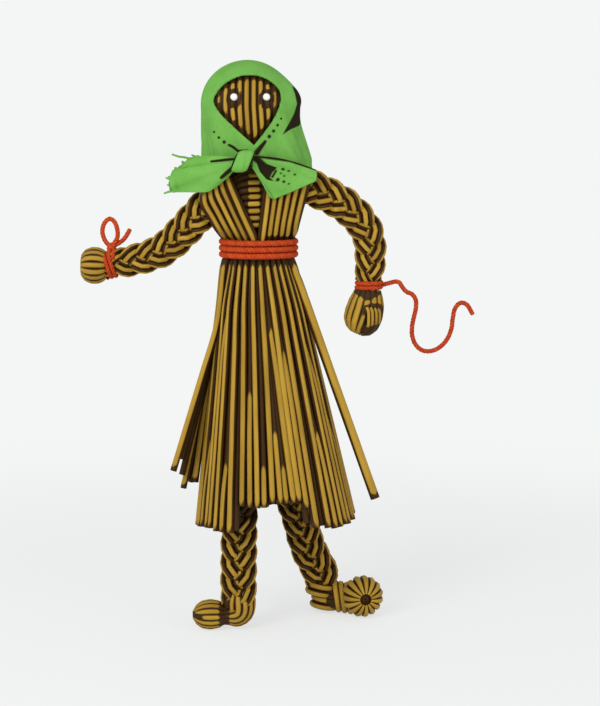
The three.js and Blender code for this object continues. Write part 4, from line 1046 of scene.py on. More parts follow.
def down_line(keys, line):
    """The values at a line's points, from (minus the height, value) pairs."""
    return [between(keys, -p.z / MM) for p in line]


def end_shade(point, tip, most):
    """How dark a straw is: painted shade under the yarn, and darker at its cut end."""
    under_yarn = 0.9 * ramp(point.z / MM, 194.2, 198.2)
    return max(under_yarn, most * ramp((point - tip).length / MM, 3.4, 2.8))


def skirt_straw(bm, top_angle, hem_angle, hem, sinks, thick, dark, bright_below=300.0):
    """One straw from the yarn to the hem. Sinks say how far it lies under the cone's surface."""

    def sunk(oval, angle, z):
        return on_oval(oval, angle, z, between(sinks, -z) + thick / 2)

    # Painted shade where a late straw still lies behind its neighbours, and the darker cut end.
    def hidden_shade(point):
        late = 0.9 * ramp(point.z / MM, bright_below, bright_below + 10)
        return max(late, end_shade(point, line[-1], 0.3))

    points = [sunk(WAIST_OVAL, top_angle, z) for z in (200.6, 195.4)]
    for k in range(1, 8):
        z = mix(192, hem, k / 7)
        points.append(sunk(skirt_oval(z), mix(top_angle, hem_angle, k / 7), z))
    line = line_through(points, 4)
    axis = [place(skirt_oval(p.z / MM)[0], 0, 0) for p in line]
    outs = [Vector((p.x - a.x, p.y - a.y, 0)) for p, a in zip(line, axis)]
    thins, widths = down_line(SKIRT_THINS, line), down_line(SKIRT_WIDTHS, line)
    lay_strand(bm, line, thick, outs, dark, thins, widths, hollow=True, shade=hidden_shade)


def late_straw(bm, angle, lean, hem, bright_below, thick):
    """A straw that starts behind its neighbours and comes forward between them."""
    sinks = [(-205, 2.2), (-bright_below - 6, 2), (-bright_below + 14, 0.2), (0, 0.2)]
    skirt_straw(bm, angle, angle + lean, hem, sinks, thick, 0.0, bright_below)


def skirt_panel(index, name):
    """Seven straws in front and seven behind them, painted dark as the shade in the gaps."""
    span = 360 / len(PANELS)
    half_step = span / STRAWS_PER_PANEL / 2
    bm = new_piece()
    for i in range(STRAWS_PER_PANEL):
        number = index * STRAWS_PER_PANEL + i
        angle = number * span / STRAWS_PER_PANEL - 180 + half_step
        off_seam = angle - SEAM
        lean = math.copysign(5.5 * math.exp(-abs(off_seam) / 20), off_seam) + chance.uniform(-1, 1)
        hem = between(HEM, angle) + chance.uniform(-0.9, 0.9)
        thick = SKIRT_STRAW * chance.uniform(0.88, 1.04)
        bright_below = chance.uniform(88, 176)
        wobble = chance.uniform(0, 0.5)
        if number % 2 == 0:
            skirt_straw(bm, angle, angle + lean, hem, [(-205, wobble), (0, wobble)], thick, 0.0)
        elif number not in BARE_GAPS:
            late_straw(bm, angle, lean, hem, bright_below, thick)
        behind = angle + half_step
        hem = between(HEM, behind) + chance.uniform(-0.8, 0.8)
        skirt_straw(bm, behind, behind, hem, [(-205, 3.2), (0, 2.6)], GAP_STRAW, BEHIND_SHADE)
    if name == SEAM_PANEL:
        for angle, bright_below in SEAM_STRAWS:
            late_straw(bm, angle, 0, between(HEM, angle), bright_below, SEAM_STRAW)
    return straw_piece(bm, name + "_straws", "torso", name)


for index, name in enumerate(PANELS):
    skirt_panel(index, name)

# %% [markdown]
# ## Stray straws
# Four straws have sprung away from the skirt, three at the left and one at the right. Each starts
# under the yarn like the others, follows the cone for a while and then stands off. Shorter ones
# fill the gaps at the left, some painted dark as shade. These straws can be seen from behind too,
# so they are bright on both sides. Each row gives the angle round the cone, how far down the straw
# bends and ends, how far its tip stands off, how dark its painted shade makes it, and its thickness.

# %% Stray straws
STRAY_THINS = [(-201, 2.6), (-180, 1.9), (-130, 1.4), (-60, 1.2)]
STRAY = {
    "stray_straw_left_front": [(197, 31, 106, 14, 0.0, 3.6), (190, 38, 101, 9, BEHIND_SHADE, 3.4)],
    "stray_straw_left_middle": [
        (182, 43, 118, 6, 0.0, 3.4), (186, 43, 110, 7.6, BEHIND_SHADE, 3.4), (176, 44, 114, 4, 0.5, 3.4),
    ],
    "stray_straw_left_back": [
        (167, 45, 117, 4, 0.0, 3.4), (172, 44, 106, 2.2, BEHIND_SHADE, 3.4), (180, 40, 115, 0, 0.0, 3.6),
    ],
    "stray_straw_right": [(-15, 8, 121, 12.2, 0.0, 5.3)],
}


def stray_line(degrees, bend, tip, flare, under_yarn):
    """Down the cone to a bend, and then straight to the tip off the cone."""

    def on_cone(drop, off):
        z = 192.7 - drop
        return on_oval(skirt_oval(z), degrees, z, -off)

    turn, end = on_cone(bend, -0.3), on_cone(tip, flare + 2)
    points = [on_cone(24, -2.4)]
    if under_yarn:
        yarn = on_oval(WAIST_OVAL, degrees, 199.5, 1.7)
        points = [yarn, on_cone(0, -1.3), on_cone(bend * 0.5, -1.2)]
    return line_through([*points, turn, turn.lerp(end, 0.35), turn.lerp(end, 0.7), end], 4)


for name, stalks in STRAY.items():
    bm = new_piece()
    for number, (degrees, bend, tip, flare, dark, thick) in enumerate(stalks):
        line = stray_line(degrees, bend, tip, flare, number == 0)
        outs = [Vector((0.5 * math.cos(math.radians(degrees)), -1, 0))] * len(line)
        shade = partial(end_shade, tip=line[-1], most=0.55)
        thins = down_line(STRAY_THINS, line)
        lay_strand(bm, line, thick, outs, dark, thins, hollow=True, shade=shade, both=True)
    straw_piece(bm, name + "_stalk", "torso", name)

# %% [markdown]
# ## Plaits
# Arms and legs are three-strand plaits. Seen along the limb, each strand's middle draws a figure
# of eight: it swings from side to side once while it goes to the front and back twice, and the
# three strands follow each other a third of the way apart. Each strand is six straws round a flat
# oval, and one core straw, painted dark as the shade inside the plait, runs along the limb. The
# sizes below are shares of a limb's half-width.

# %% Plaits
STRANDS = 3
STRAND_STRAWS = 6
STRAND_SWING = 0.46
STRAND_WIDE = 0.38
STRAND_DEEP = 0.25


def plait_lines(axis, sizes, half, period, phase):
    """Lines and outward sides for all straws of a plait round an axis. Half is its half-width."""
    runs = run_lengths(axis)
    frames = axis_frames(axis)
    scale = [between(sizes, run / runs[-1]) for run in runs]
    found = []
    for strand in range(STRANDS):
        middle = []
        for point, run, size, (side, ahead) in zip(axis, runs, scale, frames):
            swing = 2 * math.pi * (run / (period * MM) + strand / STRANDS) + phase
            aside = STRAND_SWING * half * size * math.sin(swing)
            forward = STRAND_SWING * half * size * math.sin(2 * swing)
            middle.append(point + (side * aside - ahead * forward) * MM)
        flats = []
        for heading, (side, ahead) in zip(headings(middle), frames):
            wide = heading.cross(ahead).normalized()
            flats.append((wide, wide.cross(heading)))
        for i in range(STRAND_STRAWS):
            angle = 2 * math.pi * (i + 0.5) / STRAND_STRAWS
            outs, line = [], []
            for centre, size, (wide, deep), on_axis in zip(middle, scale, flats, axis):
                offset = wide * STRAND_WIDE * half * math.cos(angle)
                offset += deep * STRAND_DEEP * half * math.sin(angle)
                line.append(centre + offset * size * MM)
                outs.append(offset.normalized() + (centre - on_axis) / (half * MM) * 0.6)
            found.append((line, outs))
    return found


def lay_plait(bm, lines, axis, sizes, thick, first=0, last=None, shade=None):
    """Lays the straws of a plait, or of the part of it between two steps of its axis."""
    runs = run_lengths(axis)
    part = slice(first, None if last is None else last + 1)
    widths = [max(between(sizes, run / runs[-1]), 0.7) for run in runs][part]
    for line, outs in lines:
        lay_strand(bm, line[part], thick, outs[part], thin=1.9, widths=widths, shade=shade)
    core = axis[part]
    # The core straw is painted dark as the shade inside the plait.
    lay_strand(bm, core, thick * 1.3, [FRONT] * len(core), dark=1.0, widths=widths)


# %% [markdown]
# ## Arms
# Both arms leave the bodice at the shoulder, bend at the elbow and are pinched by the thread at
# the wrist. Each plait is cut in two at the middle of the upper arm, where nothing bends, so that
# each half crosses only one joint. The upper half blends from the body to the upper arm, the lower
# half from the upper arm to the forearm.

# %% Arms
ARM_STRAW = 3.0
ARM_HALF = 8.4
ARM_PERIOD = 27
ARM_SIZES = [(0, 1.2), (0.25, 1.16), (0.5, 1.12), (0.84, 1), (0.92, 0.78), (1, 0.72)]
left_shoulder, left_elbow = Vector((-25, -5, 221.5)), Vector((-49, -5, 201.5))
right_shoulder, right_elbow = Vector((26, -5, 232.5)), Vector((54.4, -5, 214))
left_arm_axis = line_through([
    (-17, -5, 230.3), (-26, -5, 225.2), (-41, -5, 209.6), (-50, -5, 201.8), left_bend,
    left_wrist + UP * 0.5, left_wrist + left_along * 4.4 + UP * 0.6,
], 1.5)
right_arm_axis = line_through([
    (18, -5, 236), (27, -5, 234.5), (44, -5, 225.8), (55, -5, 214.5), (58.2, -5, 204.3),
    (58.2, -5, 194.8), right_wrist + Vector((-0.4, 0, 0)), right_wrist + right_along * 4.4,
], 1.5)


def arm(side, shoulder, elbow, axis, phase):
    """The plait of one arm as two pieces, joined at the middle of the upper arm."""
    lines = plait_lines(axis, ARM_SIZES, ARM_HALF, ARM_PERIOD, phase)
    half_way = place(*((shoulder + elbow) / 2))
    cut = min(range(len(axis)), key=lambda k: (axis[k] - half_way).length)
    forward = (elbow - shoulder).normalized()
    onward = (axis[-1] - place(*elbow)).normalized()
    upper, lower = f"{side}_upper_arm", f"{side}_forearm"
    halves = (
        ("upper", 0, cut + 1, "torso", upper, shoulder - forward * 6, shoulder + forward * 7),
        ("lower", cut, None, upper, lower, elbow - forward * 8, elbow + onward * 8),
    )
    for part, first, last, held, moved, start, end in halves:
        bm = new_piece()
        lay_plait(bm, lines, axis, ARM_SIZES, ARM_STRAW, first, last)
        piece = finish_piece(bm, f"{side}_arm_{part}_plait", straw, [moved])
        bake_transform(piece, held, moved, start=place(*start), end=place(*end))


arm("left", left_shoulder, left_elbow, left_arm_axis, 0.6)
arm("right", right_shoulder, right_elbow, right_arm_axis, 2.2)

# %% [markdown]
# ## Hands
# Beyond each tie the ends of the plait swell into a hand. The left hand is a round bulb whose
# straws close at its end. Its straws start nearly as wide as the bulb, right behind the thread.

# %% Left hand
HAND_SIZES = [(0, 7), (0.1, 8.6), (0.3, 9.6), (0.55, 9.7), (0.78, 8.6), (0.93, 6.2), (1, 3)]
bm = new_piece()
reach = left_along + UP * 0.26
hand_start = left_wrist + left_along * 2.4 + UP * 0.7
hand_axis = line_through([hand_start + reach * 12 * k / 5 for k in range(6)], 0.9)
bundle(bm, hand_axis, HAND_SIZES, 15, 4.0, thin=2.2)
shaded_core(bm, hand_axis, [(0, 3), (0.5, 6), (1, 1)])
straw_piece(bm, "left_hand_straws", "left_forearm", "left_hand")

# %% [markdown]
# The right hand is longer. The thread's shade is painted on it, and four short ends are turned in
# at its outer side, which look like fingers, with painted shade round them.

# %% Right hand
PALM_LENGTH = 21.8
PALM_LEAN = -4.2
PALM_SIZES = [(0, 7), (0.1, 8), (0.3, 9.6), (0.55, 10.3), (0.75, 9.8), (0.9, 7.6), (1, 4)]
FINGERS = (57.2, 59.2, 61.2, 63)
FINGER = 2.0
FINGER_SHADE = [
    (55.7, 173.4), (59, 174.2), (63, 174.2), (66, 170), (65, 160), (60, 156), (54, 156),
    (54, 163), (55.2, 166),
]


def palm_shade(point):
    """Painted shade on the hand: under the thread, and round the turned-in ends."""
    x, z = from_front(point)
    tie = ramp(z - 0.5 * abs(x - 57.5), 175.8, 177.3)
    front = ramp(point.y / MM - WAIST_LINE.y, -6, -7)
    return 0.88 * front * max(tie, ramp(inside_by(x, z, FINGER_SHADE), -0.5, 0.5))


bm = new_piece()
palm = []
for share in [k / 6 for k in range(7)]:
    lean = Vector((PALM_LEAN * share ** 2 - 0.7, 0, 0))
    palm.append(right_wrist + right_along * (2.6 + PALM_LENGTH * share) + lean)
palm_axis = line_through(palm, 1.1)
bundle(bm, palm_axis, PALM_SIZES, 14, 4.7, thin=2.0, shade=palm_shade)
shaded_core(bm, palm_axis, [(0, 3), (0.5, 6.4), (1, 1)])
for number, x in enumerate(FINGERS):
    front = -5.6 - 0.94 * math.sqrt(10.4 ** 2 - (x - 54.5) ** 2)
    top, low = 172.6 - 0.3 * number, 164.4 + 0.5 * number
    finger = line_through([
        (x - 0.8, front + 0.9, top), (x, front - 0.4, mix(top, low, 0.3)),
        (x, front - 0.3, low), (x - 0.3, front + 1.4, low - 1.2),
    ], 1)
    lay_strand(bm, finger, FINGER, [FRONT] * len(finger), thin=1.4)
straw_piece(bm, "right_hand_straws", "right_forearm", "right_hand")

# %% [markdown]
# ## Legs
# The legs are thicker plaits that hang from the hips inside the skirt. They are drawn tight at the
# hips, so that they can swing there, and come to their full width where they show. Each moves with
# its leg as a whole. The plait's turns are counted up from the foot.

# %% Legs
LEG_STRAW = 3.3
LEG_HALF = 10.4
LEG_PERIOD = 29
LEG_FOOT = 3.2
LEG_SIZES = [(0, 0.5), (0.3, 0.6), (0.5, 0.8), (0.62, 1), (0.97, 1), (1, 0.94)]
left_leg_axis = line_through([
    (-7, 0, 180), (-7.6, -2.2, 137), (-9.8, -4.5, 93), (-11, -9, 25.9), (-11, -9, 15),
], 1.7)
right_leg_axis = line_through([
    (8.3, 0, 180), (12.6, 13, 93), (18.6, 18.4, 64), (22, 20.4, 52), (26, 23, 36.5),
    (32.8, 26, 22), (34, 26, 15),
], 1.7)


def hem_shade(point):
    """Painted shade on a leg close under the hem, which hangs lower over the left one."""
    x, z = from_front(point)
    low = 52 if x < 4 else 60
    return 0.14 * ramp(z, low, low + 4) + 0.8 * ramp(z, low + 9, low + 13)


for side, axis, start in (("left", left_leg_axis, 0.1), ("right", right_leg_axis, 0.45)):
    phase = 2 * math.pi * (start - (run_lengths(axis)[-1] / MM + LEG_FOOT) / LEG_PERIOD)
    bm = new_piece()
    lines = plait_lines(axis, LEG_SIZES, LEG_HALF, LEG_PERIOD, phase)
    lay_plait(bm, lines, axis, LEG_SIZES, LEG_STRAW, shade=hem_shade)
    straw_piece(bm, f"{side}_leg_plait", f"{side}_leg", f"{side}_leg")

# %% [markdown]
# ## Left foot
# The plait's straws turn out at the heel and swell again into a round toe that closes at its tip.

# %% Left foot
FOOT_SIZES = [
    (0, 5.6), (0.1, 7.8), (0.2, 9.3), (0.32, 9), (0.42, 7.6), (0.5, 5.8), (0.56, 5.6),
    (0.65, 7.4), (0.76, 8.1), (0.87, 7.4), (0.95, 5.4), (1, 2.4),
]
foot_axis = line_through([
    (-11, -9, 22), (-11, -9, 17.5), (-10.9, -9, 12), (-12.2, -9.2, 9.2), (-16.4, -9.7, 8),
    (-21, -10.1, 8), (-27, -10.7, 8.1), (-34.6, -11.6, 8.1),
], 1.0)


def toe_shade(point):
    """Painted shade on the left foot: in the pinch behind the toe, and in the slit at its tip."""
    x, z = from_front(point)
    pinch = ramp(abs(x + 18.4), 3, 0.8)
    half_slit = 1.4 * ramp(x, -25.5, -34.5)
    slit = ramp(abs(z - 8.6), half_slit, half_slit - 0.6)
    return 0.85 * max(pinch, slit)


bm = new_piece()
bundle(bm, foot_axis, FOOT_SIZES, 14, 4.0, flat=0.95, thin=2.2, shade=toe_shade)
shaded_core(bm, foot_axis, [(0, 4), (0.3, 5), (0.52, 3), (0.75, 5), (1, 1)])
straw_piece(bm, "left_foot_straws", "left_leg", "left_foot")

# %% [markdown]
# ## Right foot
# The right foot is turned to the front. Straws are wound round its heel in nearly level turns and
# across its instep in upright ones, over a bundle painted dark as shade, and the toe is a round
# knob whose straws spread from a middle painted dark as shade, like a rosette.

# %% Right foot
WRAP_STRAW = 3.6
SPOKES = 15
toe_out = Vector((1, -0.55, 0)).normalized()
heel_up = Vector((0.24, 0, 1))
ankle = Vector((34.5, 26, 0))
knob = ankle + toe_out * 24.2 + UP * 11.3
pole = Vector((0.16, -0.98, 0.04)).normalized()
pole_x = pole.cross(UP).normalized()
pole_y = pole_x.cross(pole)


def foot_wrap(bm, middle, along, half, turns, pitch):
    """A straw wound round the foot."""
    line = winding_line(middle, along.normalized(), half, half, turns, pitch, math.pi / 2)[::2]
    centre = place(*middle)
    lay_strand(bm, line, WRAP_STRAW, [p - centre for p in line], thin=1.8)


def knob_spoke(bm, angle, reach, thick, dark, rim):
    """A straw over the knob, from the rim of its dark middle to its back."""
    spoke = pole_x * math.cos(angle) + pole_y * math.sin(angle)
    polar = [math.radians(mix(rim, 160, k / 12)) for k in range(13)]
    points = [knob + (pole * math.cos(a) + spoke * math.sin(a)) * reach for a in polar]
    line = line_through(points, 1.3)
    centre = place(*knob)
    outs = [p - centre for p in line]
    widths = [max(out.normalized().cross(pole).length, 0.36) for out in outs]
    lay_strand(bm, line, thick, outs, dark, 1.8, widths)


bm = new_piece()
heel_axis = line_through([
    ankle + UP * 18, ankle + UP * 12.5, ankle + toe_out * 2.4 + UP * 9,
    ankle + toe_out * 8 + UP * 8.6, ankle + toe_out * 18 + UP * 8.6,
], 1.5)
# The bundle under the wraps is painted dark as the shade between them.
bundle(bm, heel_axis, [(0, 7.4), (1, 6.4)], 12, 3.4, flat=1, dark=BEHIND_SHADE)
foot_wrap(bm, ankle + Vector((-0.3, 0, 12.9)), heel_up, 7.6, 2, 3.7)
foot_wrap(bm, ankle + Vector((1.3, 0, 5.5)), heel_up, 6.7, 2, 3.7)
for k in range(4):
    instep = ankle + toe_out * (8.4 + 3.7 * k) + UP * 9.2
    foot_wrap(bm, instep, toe_out + UP * 0.12, 7.2, 1, 0.6)
for i in range(SPOKES):
    knob_spoke(bm, 2 * math.pi * i / SPOKES, 9.3, 4.3, 0.0, 18)
# A second layer of spokes, painted dark as shade, shows in the knob's middle and between its spokes.
for i in range(SPOKES):
    knob_spoke(bm, 2 * math.pi * (i + 0.5) / SPOKES, 7.4, 4, 0.9, 3)
straw_piece(bm, "right_foot_straws", "right_leg", "right_foot")

# %% [markdown]
# ## Scarf cloth
# The scarf is a plain green cotton weave. The finish draws warp and weft from the cloth's own flat
# coordinates, lets the colour drift a little from place to place, and paints shade into the creases
# that the mesh marks.

# %% Cloth finish
THREAD_PITCH = 0.0009
weave, (cloth, worn, deep), weave_out = new_group("cloth_weave", "Cloth", "Worn", "Crease shade")
flat_place = add_node(weave, "ShaderNodeUVMap", uv_map="cloth").outputs["UV"]
split = add_node(weave, "ShaderNodeSeparateXYZ", {0: flat_place}).outputs
threads = [work_out(weave, "MULTIPLY", split[k], math.pi / THREAD_PITCH) for k in (0, 1)]
waves = [work_out(weave, "SINE", thread) for thread in threads]
warp, weft = [work_out(weave, "ABSOLUTE", wave) for wave in waves]
over = work_out(weave, "MULTIPLY", *waves)
drift = grain(weave, on_object(weave), (120, 120, 120), 4)
slub = grain(weave, flat_place, (1500, 160, 1))
drifted = spread(weave, drift, 0.35, 0.7, 0.0, 0.5)
tone = work_out(weave, "ADD", drifted, spread(weave, slub, 0.5, 0.75, 0.0, 0.4))
# Painted shade in the creases and folds that the mesh marks.
creased = spread(weave, attribute(weave, "crease", "Fac"), 0.25, 0.8)
feed(weave, weave_out, {
    "Color": blended(weave, creased, blended(weave, tone, cloth, worn), deep),
    "Roughness": spread(weave, slub, 0.3, 0.7, 0.78, 0.95),
    "Height": blended(weave, spread(weave, over, -0.2, 0.2), warp, weft, "FLOAT"),
})
green_cloth = group_finish(
    "green_cotton", weave, [(0.165, 0.43, 0.08), (0.125, 0.355, 0.055), (0.014, 0.009, 0.002)],
    bump=0.4, gloss=0.12,
)
print("weave of", round(MM / THREAD_PITCH, 2), "threads per mm")

# %% [markdown]
# ## Creases
# Cloth that is drawn into a knot has creases that run out of it. A crease is a line of places as
# seen from the front, and shade is painted on the cloth near it. Where the cloth is only pinched
# the crease breaks up into dots, and a deep fold is a patch of painted shade with an outline of its
# own.


# %% Creases
def crease_shade_at(x, z, lines=(), dots=(), patches=()):
    """How much painted shade the cloth has at a place, from 0 to 1, by the marks near it.

    A line has a width at each of its two ends, a dot has a radius, and a patch is an outline.
    """
    dark = 0.0
    for line, (start, end) in lines:
        away, share = from_line(x, z, line)
        dark = max(dark, math.exp(-((away / mix(start, end, share)) ** 2)))
    for dot_x, dot_z, radius in dots:
        dark = max(dark, math.exp(-((math.hypot(x - dot_x, z - dot_z) / radius) ** 2)))
    for outline in patches:
        dark = max(dark, ramp(inside_by(x, z, outline), -0.6, 0.6))
    return dark


# %% [markdown]
# ## Pieces of cloth
# A piece of the scarf starts as a flat grid, or as a ball for the knot. First the place of each
# point on the flat cloth is noted for the weave, and then the points are moved. Solidify gives a
# sheet its thickness, half to each side.

# %% Cloth pieces
GRID_UP = Vector((0, 1, 0))


def new_cloth(make, width, height, up, **sizes):
    """A mesh made by an operator, with its points' places on the flat cloth, and its painted shade notes.

    Width and height are its scale on the flat cloth, and up is the direction that is upwards there.
    """
    bm = bmesh.new()
    bm.verts.layers.float.new("crease")
    uv = bm.loops.layers.uv.new("cloth")
    make(bm, **sizes)
    for face in bm.faces:
        for loop in face.loops:
            spot = loop.vert.co
            loop[uv].uv = (spot.x * width, spot.dot(up) * height)
    return bm, bm.verts.layers.float["crease"]


def cloth_grid(columns, rows, width, height):
    """A flat grid of cloth."""
    sizes = {"x_segments": columns, "y_segments": rows, "size": 0.5}
    return new_cloth(bmesh.ops.create_grid, width, height, GRID_UP, **sizes)


def cloth_piece(bm, name, node, thick=0.0):
    """A finished piece of the scarf. A sheet has a thickness in millimetres."""
    bmesh.ops.recalc_face_normals(bm, faces=bm.faces[:])
    piece = finish_piece(bm, name, green_cloth, [node])
    if thick:
        wall = piece.modifiers.new("cloth_thickness", "SOLIDIFY")
        wall.thickness = thick * MM
        wall.offset = 0
    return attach(piece, "torso")


# %% [markdown]
# ## Hood
# The hood goes over the head, hangs down at the sides and ends in a point at the back. The grid's
# columns go round the head and its rows go down from the top.

# %% Hood shape
HOOD_LIFT = 1.3
HOOD_TOP = HEAD_HALF + HOOD_LIFT
HOOD_COLUMNS = 240
HOOD_ROWS = 92
HOOD_FLAT = (0.15, 0.09)
HOOD_THICK = 1.2
HOOD_SHIFT = 4.8
CROWN_SHARE = 0.4
RIM_DROP = 29.5
FOLD_DROP = 27.3
RIM = [
    (-90, 246.5), (-40, 244.6), (0, 243), (40, 243), (90, 224), (140, 250.6), (180, 250.6),
    (270, 246.5),
]


def hood_half(z, half, rim):
    """Half the hood's width or depth at a height."""
    if z >= HEAD_WIDEST:
        return (half + HOOD_LIFT) * math.sqrt(max(1 - ((z - HEAD_WIDEST) / HOOD_TOP) ** 2, 0))
    return mix(half, rim, min((HEAD_WIDEST - z) / RIM_DROP, 1)) + HOOD_LIFT


def hood_place(degrees, z):
    """A place on the hood's cloth, with its folds, which vanish at the top."""
    angle = math.radians(degrees)
    slack = limited((HEAD_WIDEST - z) / FOLD_DROP)
    side_fold = 4 * math.exp(-(((degrees + 12) / 15) ** 2) - ((z - 280) / 9) ** 2)
    fold = 1.3 * slack * (1 + math.cos(8 * angle)) + side_fold
    fold += 0.35 * slack * math.sin(21 * angle + z / 4) + 0.2 * math.sin(5 * angle + z / 6)
    fold *= limited((299.3 - z) / 4)
    half_width = hood_half(z, 22.5, 24.4) + fold
    half_depth = hood_half(z, HEAD_DEPTH, 14.4 if math.sin(angle) < 0 else 20.5) + fold
    middle = HEAD_MIDDLE + HOOD_SHIFT * slack
    return Vector((middle + half_width * math.cos(angle), half_depth * math.sin(angle), z))


def hood_height(degrees, down):
    """The height of a row of the grid, which is the given share of the way down."""
    if down < CROWN_SHARE:
        return HEAD_WIDEST + HOOD_TOP * math.cos(down / CROWN_SHARE * math.pi / 2)
    rim = between(RIM, degrees if degrees <= 270 else degrees - 360)
    return mix(HEAD_WIDEST, rim, (down - CROWN_SHARE) / (1 - CROWN_SHARE))


print("hood grid:", HOOD_COLUMNS, "by", HOOD_ROWS)

# %% [markdown]
# The grid's points are moved to the hood's shape. Faces inside the outline of the face are deleted,
# and the edge that is left is drawn to the outline. Then each point gets its note of painted shade.

# %% Hood cloth
# Lines, dots and a patch of painted shade in the hood's creases and side fold.
HOOD_CREASES = [
    ([(-14.6, 256.8), (-12.8, 255.9), (-9.7, 253.7)], (0.8, 1.0)),
    ([(-9.7, 253.7), (-5, 254.2)], (0.9, 0.6)),
    ([(3.8, 258.6), (1.5, 255.8), (-0.4, 253)], (1.0, 1.8)),
]
HOOD_DOTS = [
    (-22, 263.3, 0.8), (-19.6, 260.5, 0.95), (-16.9, 258.3, 1.15), (11.7, 270, 0.75),
    (10, 266.8, 0.9), (8.1, 263.9, 1.1), (5.8, 261.1, 1.2),
]
SIDE_SHADOW = [
    (16.2, 288.4), (25.5, 283.4), (25.5, 277), (23, 272), (23.4, 267.2), (16.2, 264.2),
    (12.2, 261.6), (14.9, 266.4), (18.1, 272.5), (19.7, 277.5), (18.7, 282.2),
]


def hood_shade(x, y, z):
    """Painted shade at a place. The painted shadow in the side fold ends in a curve towards the back."""
    shadow_end = -7 * ((z - 275) / 12) ** 2
    faded = ramp(y, shadow_end + 0.75, shadow_end - 0.75)
    shadow = faded * crease_shade_at(x, z, patches=[SIDE_SHADOW])
    return shadow if y > 0 else max(shadow, crease_shade_at(x, z, HOOD_CREASES, HOOD_DOTS))


bm, crease = cloth_grid(HOOD_COLUMNS, HOOD_ROWS, *HOOD_FLAT)
for vertex in bm.verts:
    degrees, down = vertex.co.x * 360 + 90, 0.5 - vertex.co.y
    z = hood_height(degrees, down)
    vertex.co = hood_place(degrees if degrees <= 180 else degrees - 360, z)
bmesh.ops.remove_doubles(bm, verts=bm.verts[:], dist=0.01)
middles = [(face, face.calc_center_median()) for face in bm.faces]
opening = [face for face, m in middles if m.y < 0 and in_outline(m.x, m.z, face_outline)]
bmesh.ops.delete(bm, geom=opening, context="FACES")
face_edges = list(zip(face_outline, face_outline[1:] + face_outline[:1]))
for vertex in bm.verts:
    x, y, z = vertex.co
    if vertex.is_boundary and y < 0 and z > 254:
        start, end = min(face_edges, key=lambda edge: from_line(x, z, edge)[0])
        _, share = from_line(x, z, (start, end))
        vertex.co.x, vertex.co.z = mix(start[0], end[0], share), mix(start[1], end[1], share)
for vertex in bm.verts:
    vertex[crease] = hood_shade(*vertex.co)
    vertex.co = place(*vertex.co)
hood = cloth_piece(bm, "scarf_hood_cloth", "scarf_hood", HOOD_THICK)

# %% [markdown]
# ## Ends of the scarf
# The two ends fan out of the knot under the chin. Each is a grid from a short root at the knot to
# its outer edge, with folds that run out from the root and grow deeper on the way.

# %% Scarf ends
low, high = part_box("scarf_knot")
KNOT = (low + high) / 2 / MM - WAIST_LINE
TAIL_GRID = (48, 40)
TAIL_FLAT = (0.036, 0.024)
TAIL_THICK = 1.1
TAIL_PLANE = -18.4
TAIL_DEEP = 1.5


def tail_place(root, edge, crown, folds, out, down):
    """A place on a scarf end: out from its root, and down across it, both from 0 to 1."""
    edge_at = down * (len(edge) - 1)
    i = min(int(edge_at), len(edge) - 2)
    rim = Vector(edge[i]).lerp(Vector(edge[i + 1]), edge_at - i)
    x, z = Vector(root[0]).lerp(Vector(root[1]), down).lerp(rim, out)
    z += crown * (1 - down) * math.sin(math.pi * out)
    y = mix(KNOT.y + 2, TAIL_PLANE, out ** 0.7)
    y -= TAIL_DEEP * out ** 0.8 * (1 - math.cos(2 * math.pi * folds * down)) / 2
    y -= 0.5 * out * math.sin(9 * down + 4 * out)
    return Vector((x, y, z))


def scarf_end(name, node, shape, marks):
    """One end of the scarf as a sheet with thickness."""
    bm, crease = cloth_grid(*TAIL_GRID, *TAIL_FLAT)
    for vertex in bm.verts:
        spot = tail_place(*shape, vertex.co.x + 0.5, 0.5 - vertex.co.y)
        vertex[crease] = crease_shade_at(spot.x, spot.z, *marks)
        vertex.co = place(*spot)
    return cloth_piece(bm, name, node, TAIL_THICK)


LEFT_ROOT = [(-11.6, 250.4), (-12, 243.9)]
LEFT_EDGE = [
    (-31.9, 250.8), (-35.7, 248.9), (-38.8, 245.8), (-42.5, 243.7), (-45.1, 239), (-44.4, 235.4),
    (-43.3, 232.8), (-33.9, 232.6), (-25.9, 232.8), (-19.8, 236.4),
]
LEFT_END = (LEFT_ROOT, LEFT_EDGE, 0.6, 3)
# Painted shade in the folds of the left end.
LEFT_CREASES = [
    ([(-23.6, 248.6), (-12, 249.7)], (0.6, 0.8)), ([(-18.6, 240.3), (-11.8, 246)], (0.9, 1.5)),
]
RIGHT_ROOT = [(-2.6, 251.4), (-2.4, 245)]
RIGHT_EDGE = [
    (29.9, 244.2), (30.3, 241), (29.9, 238.4), (22.6, 235.2), (15.2, 232.1), (8.2, 229.1),
    (6.4, 230.6),
]
RIGHT_END = (RIGHT_ROOT, RIGHT_EDGE, 1.8, 2.5)
# Painted shade in the folds of the right end: lines, dots and a patch by the knot.
RIGHT_CREASES = [
    ([(30, 244.4), (16.6, 249), (0, 251.4)], (1.2, 1.5)), ([(3, 247), (-2, 251)], (2, 2.4)),
    ([(9.4, 243.6), (7.6, 240.6)], (0.7, 0.7)),
]
RIGHT_DOTS = [
    (13, 244.6, 1.15), (15.9, 243.7, 0.9), (19, 241.8, 0.95), (11.8, 242.3, 0.75),
    (13.5, 241, 0.75), (10.4, 239.3, 1.2), (13.4, 238.2, 1.0), (15.9, 237, 0.8),
]
RIGHT_PATCH = [
    (-1.6, 250), (4, 247.8), (10.2, 245.4), (7.4, 242.6), (6.4, 240.4), (9.2, 238.3), (4.6, 239.4),
    (1.2, 243.4),
]
right_marks = (RIGHT_CREASES, RIGHT_DOTS, [RIGHT_PATCH])
left_end = scarf_end("scarf_left_end_cloth", "scarf_left_tail", LEFT_END, (LEFT_CREASES,))
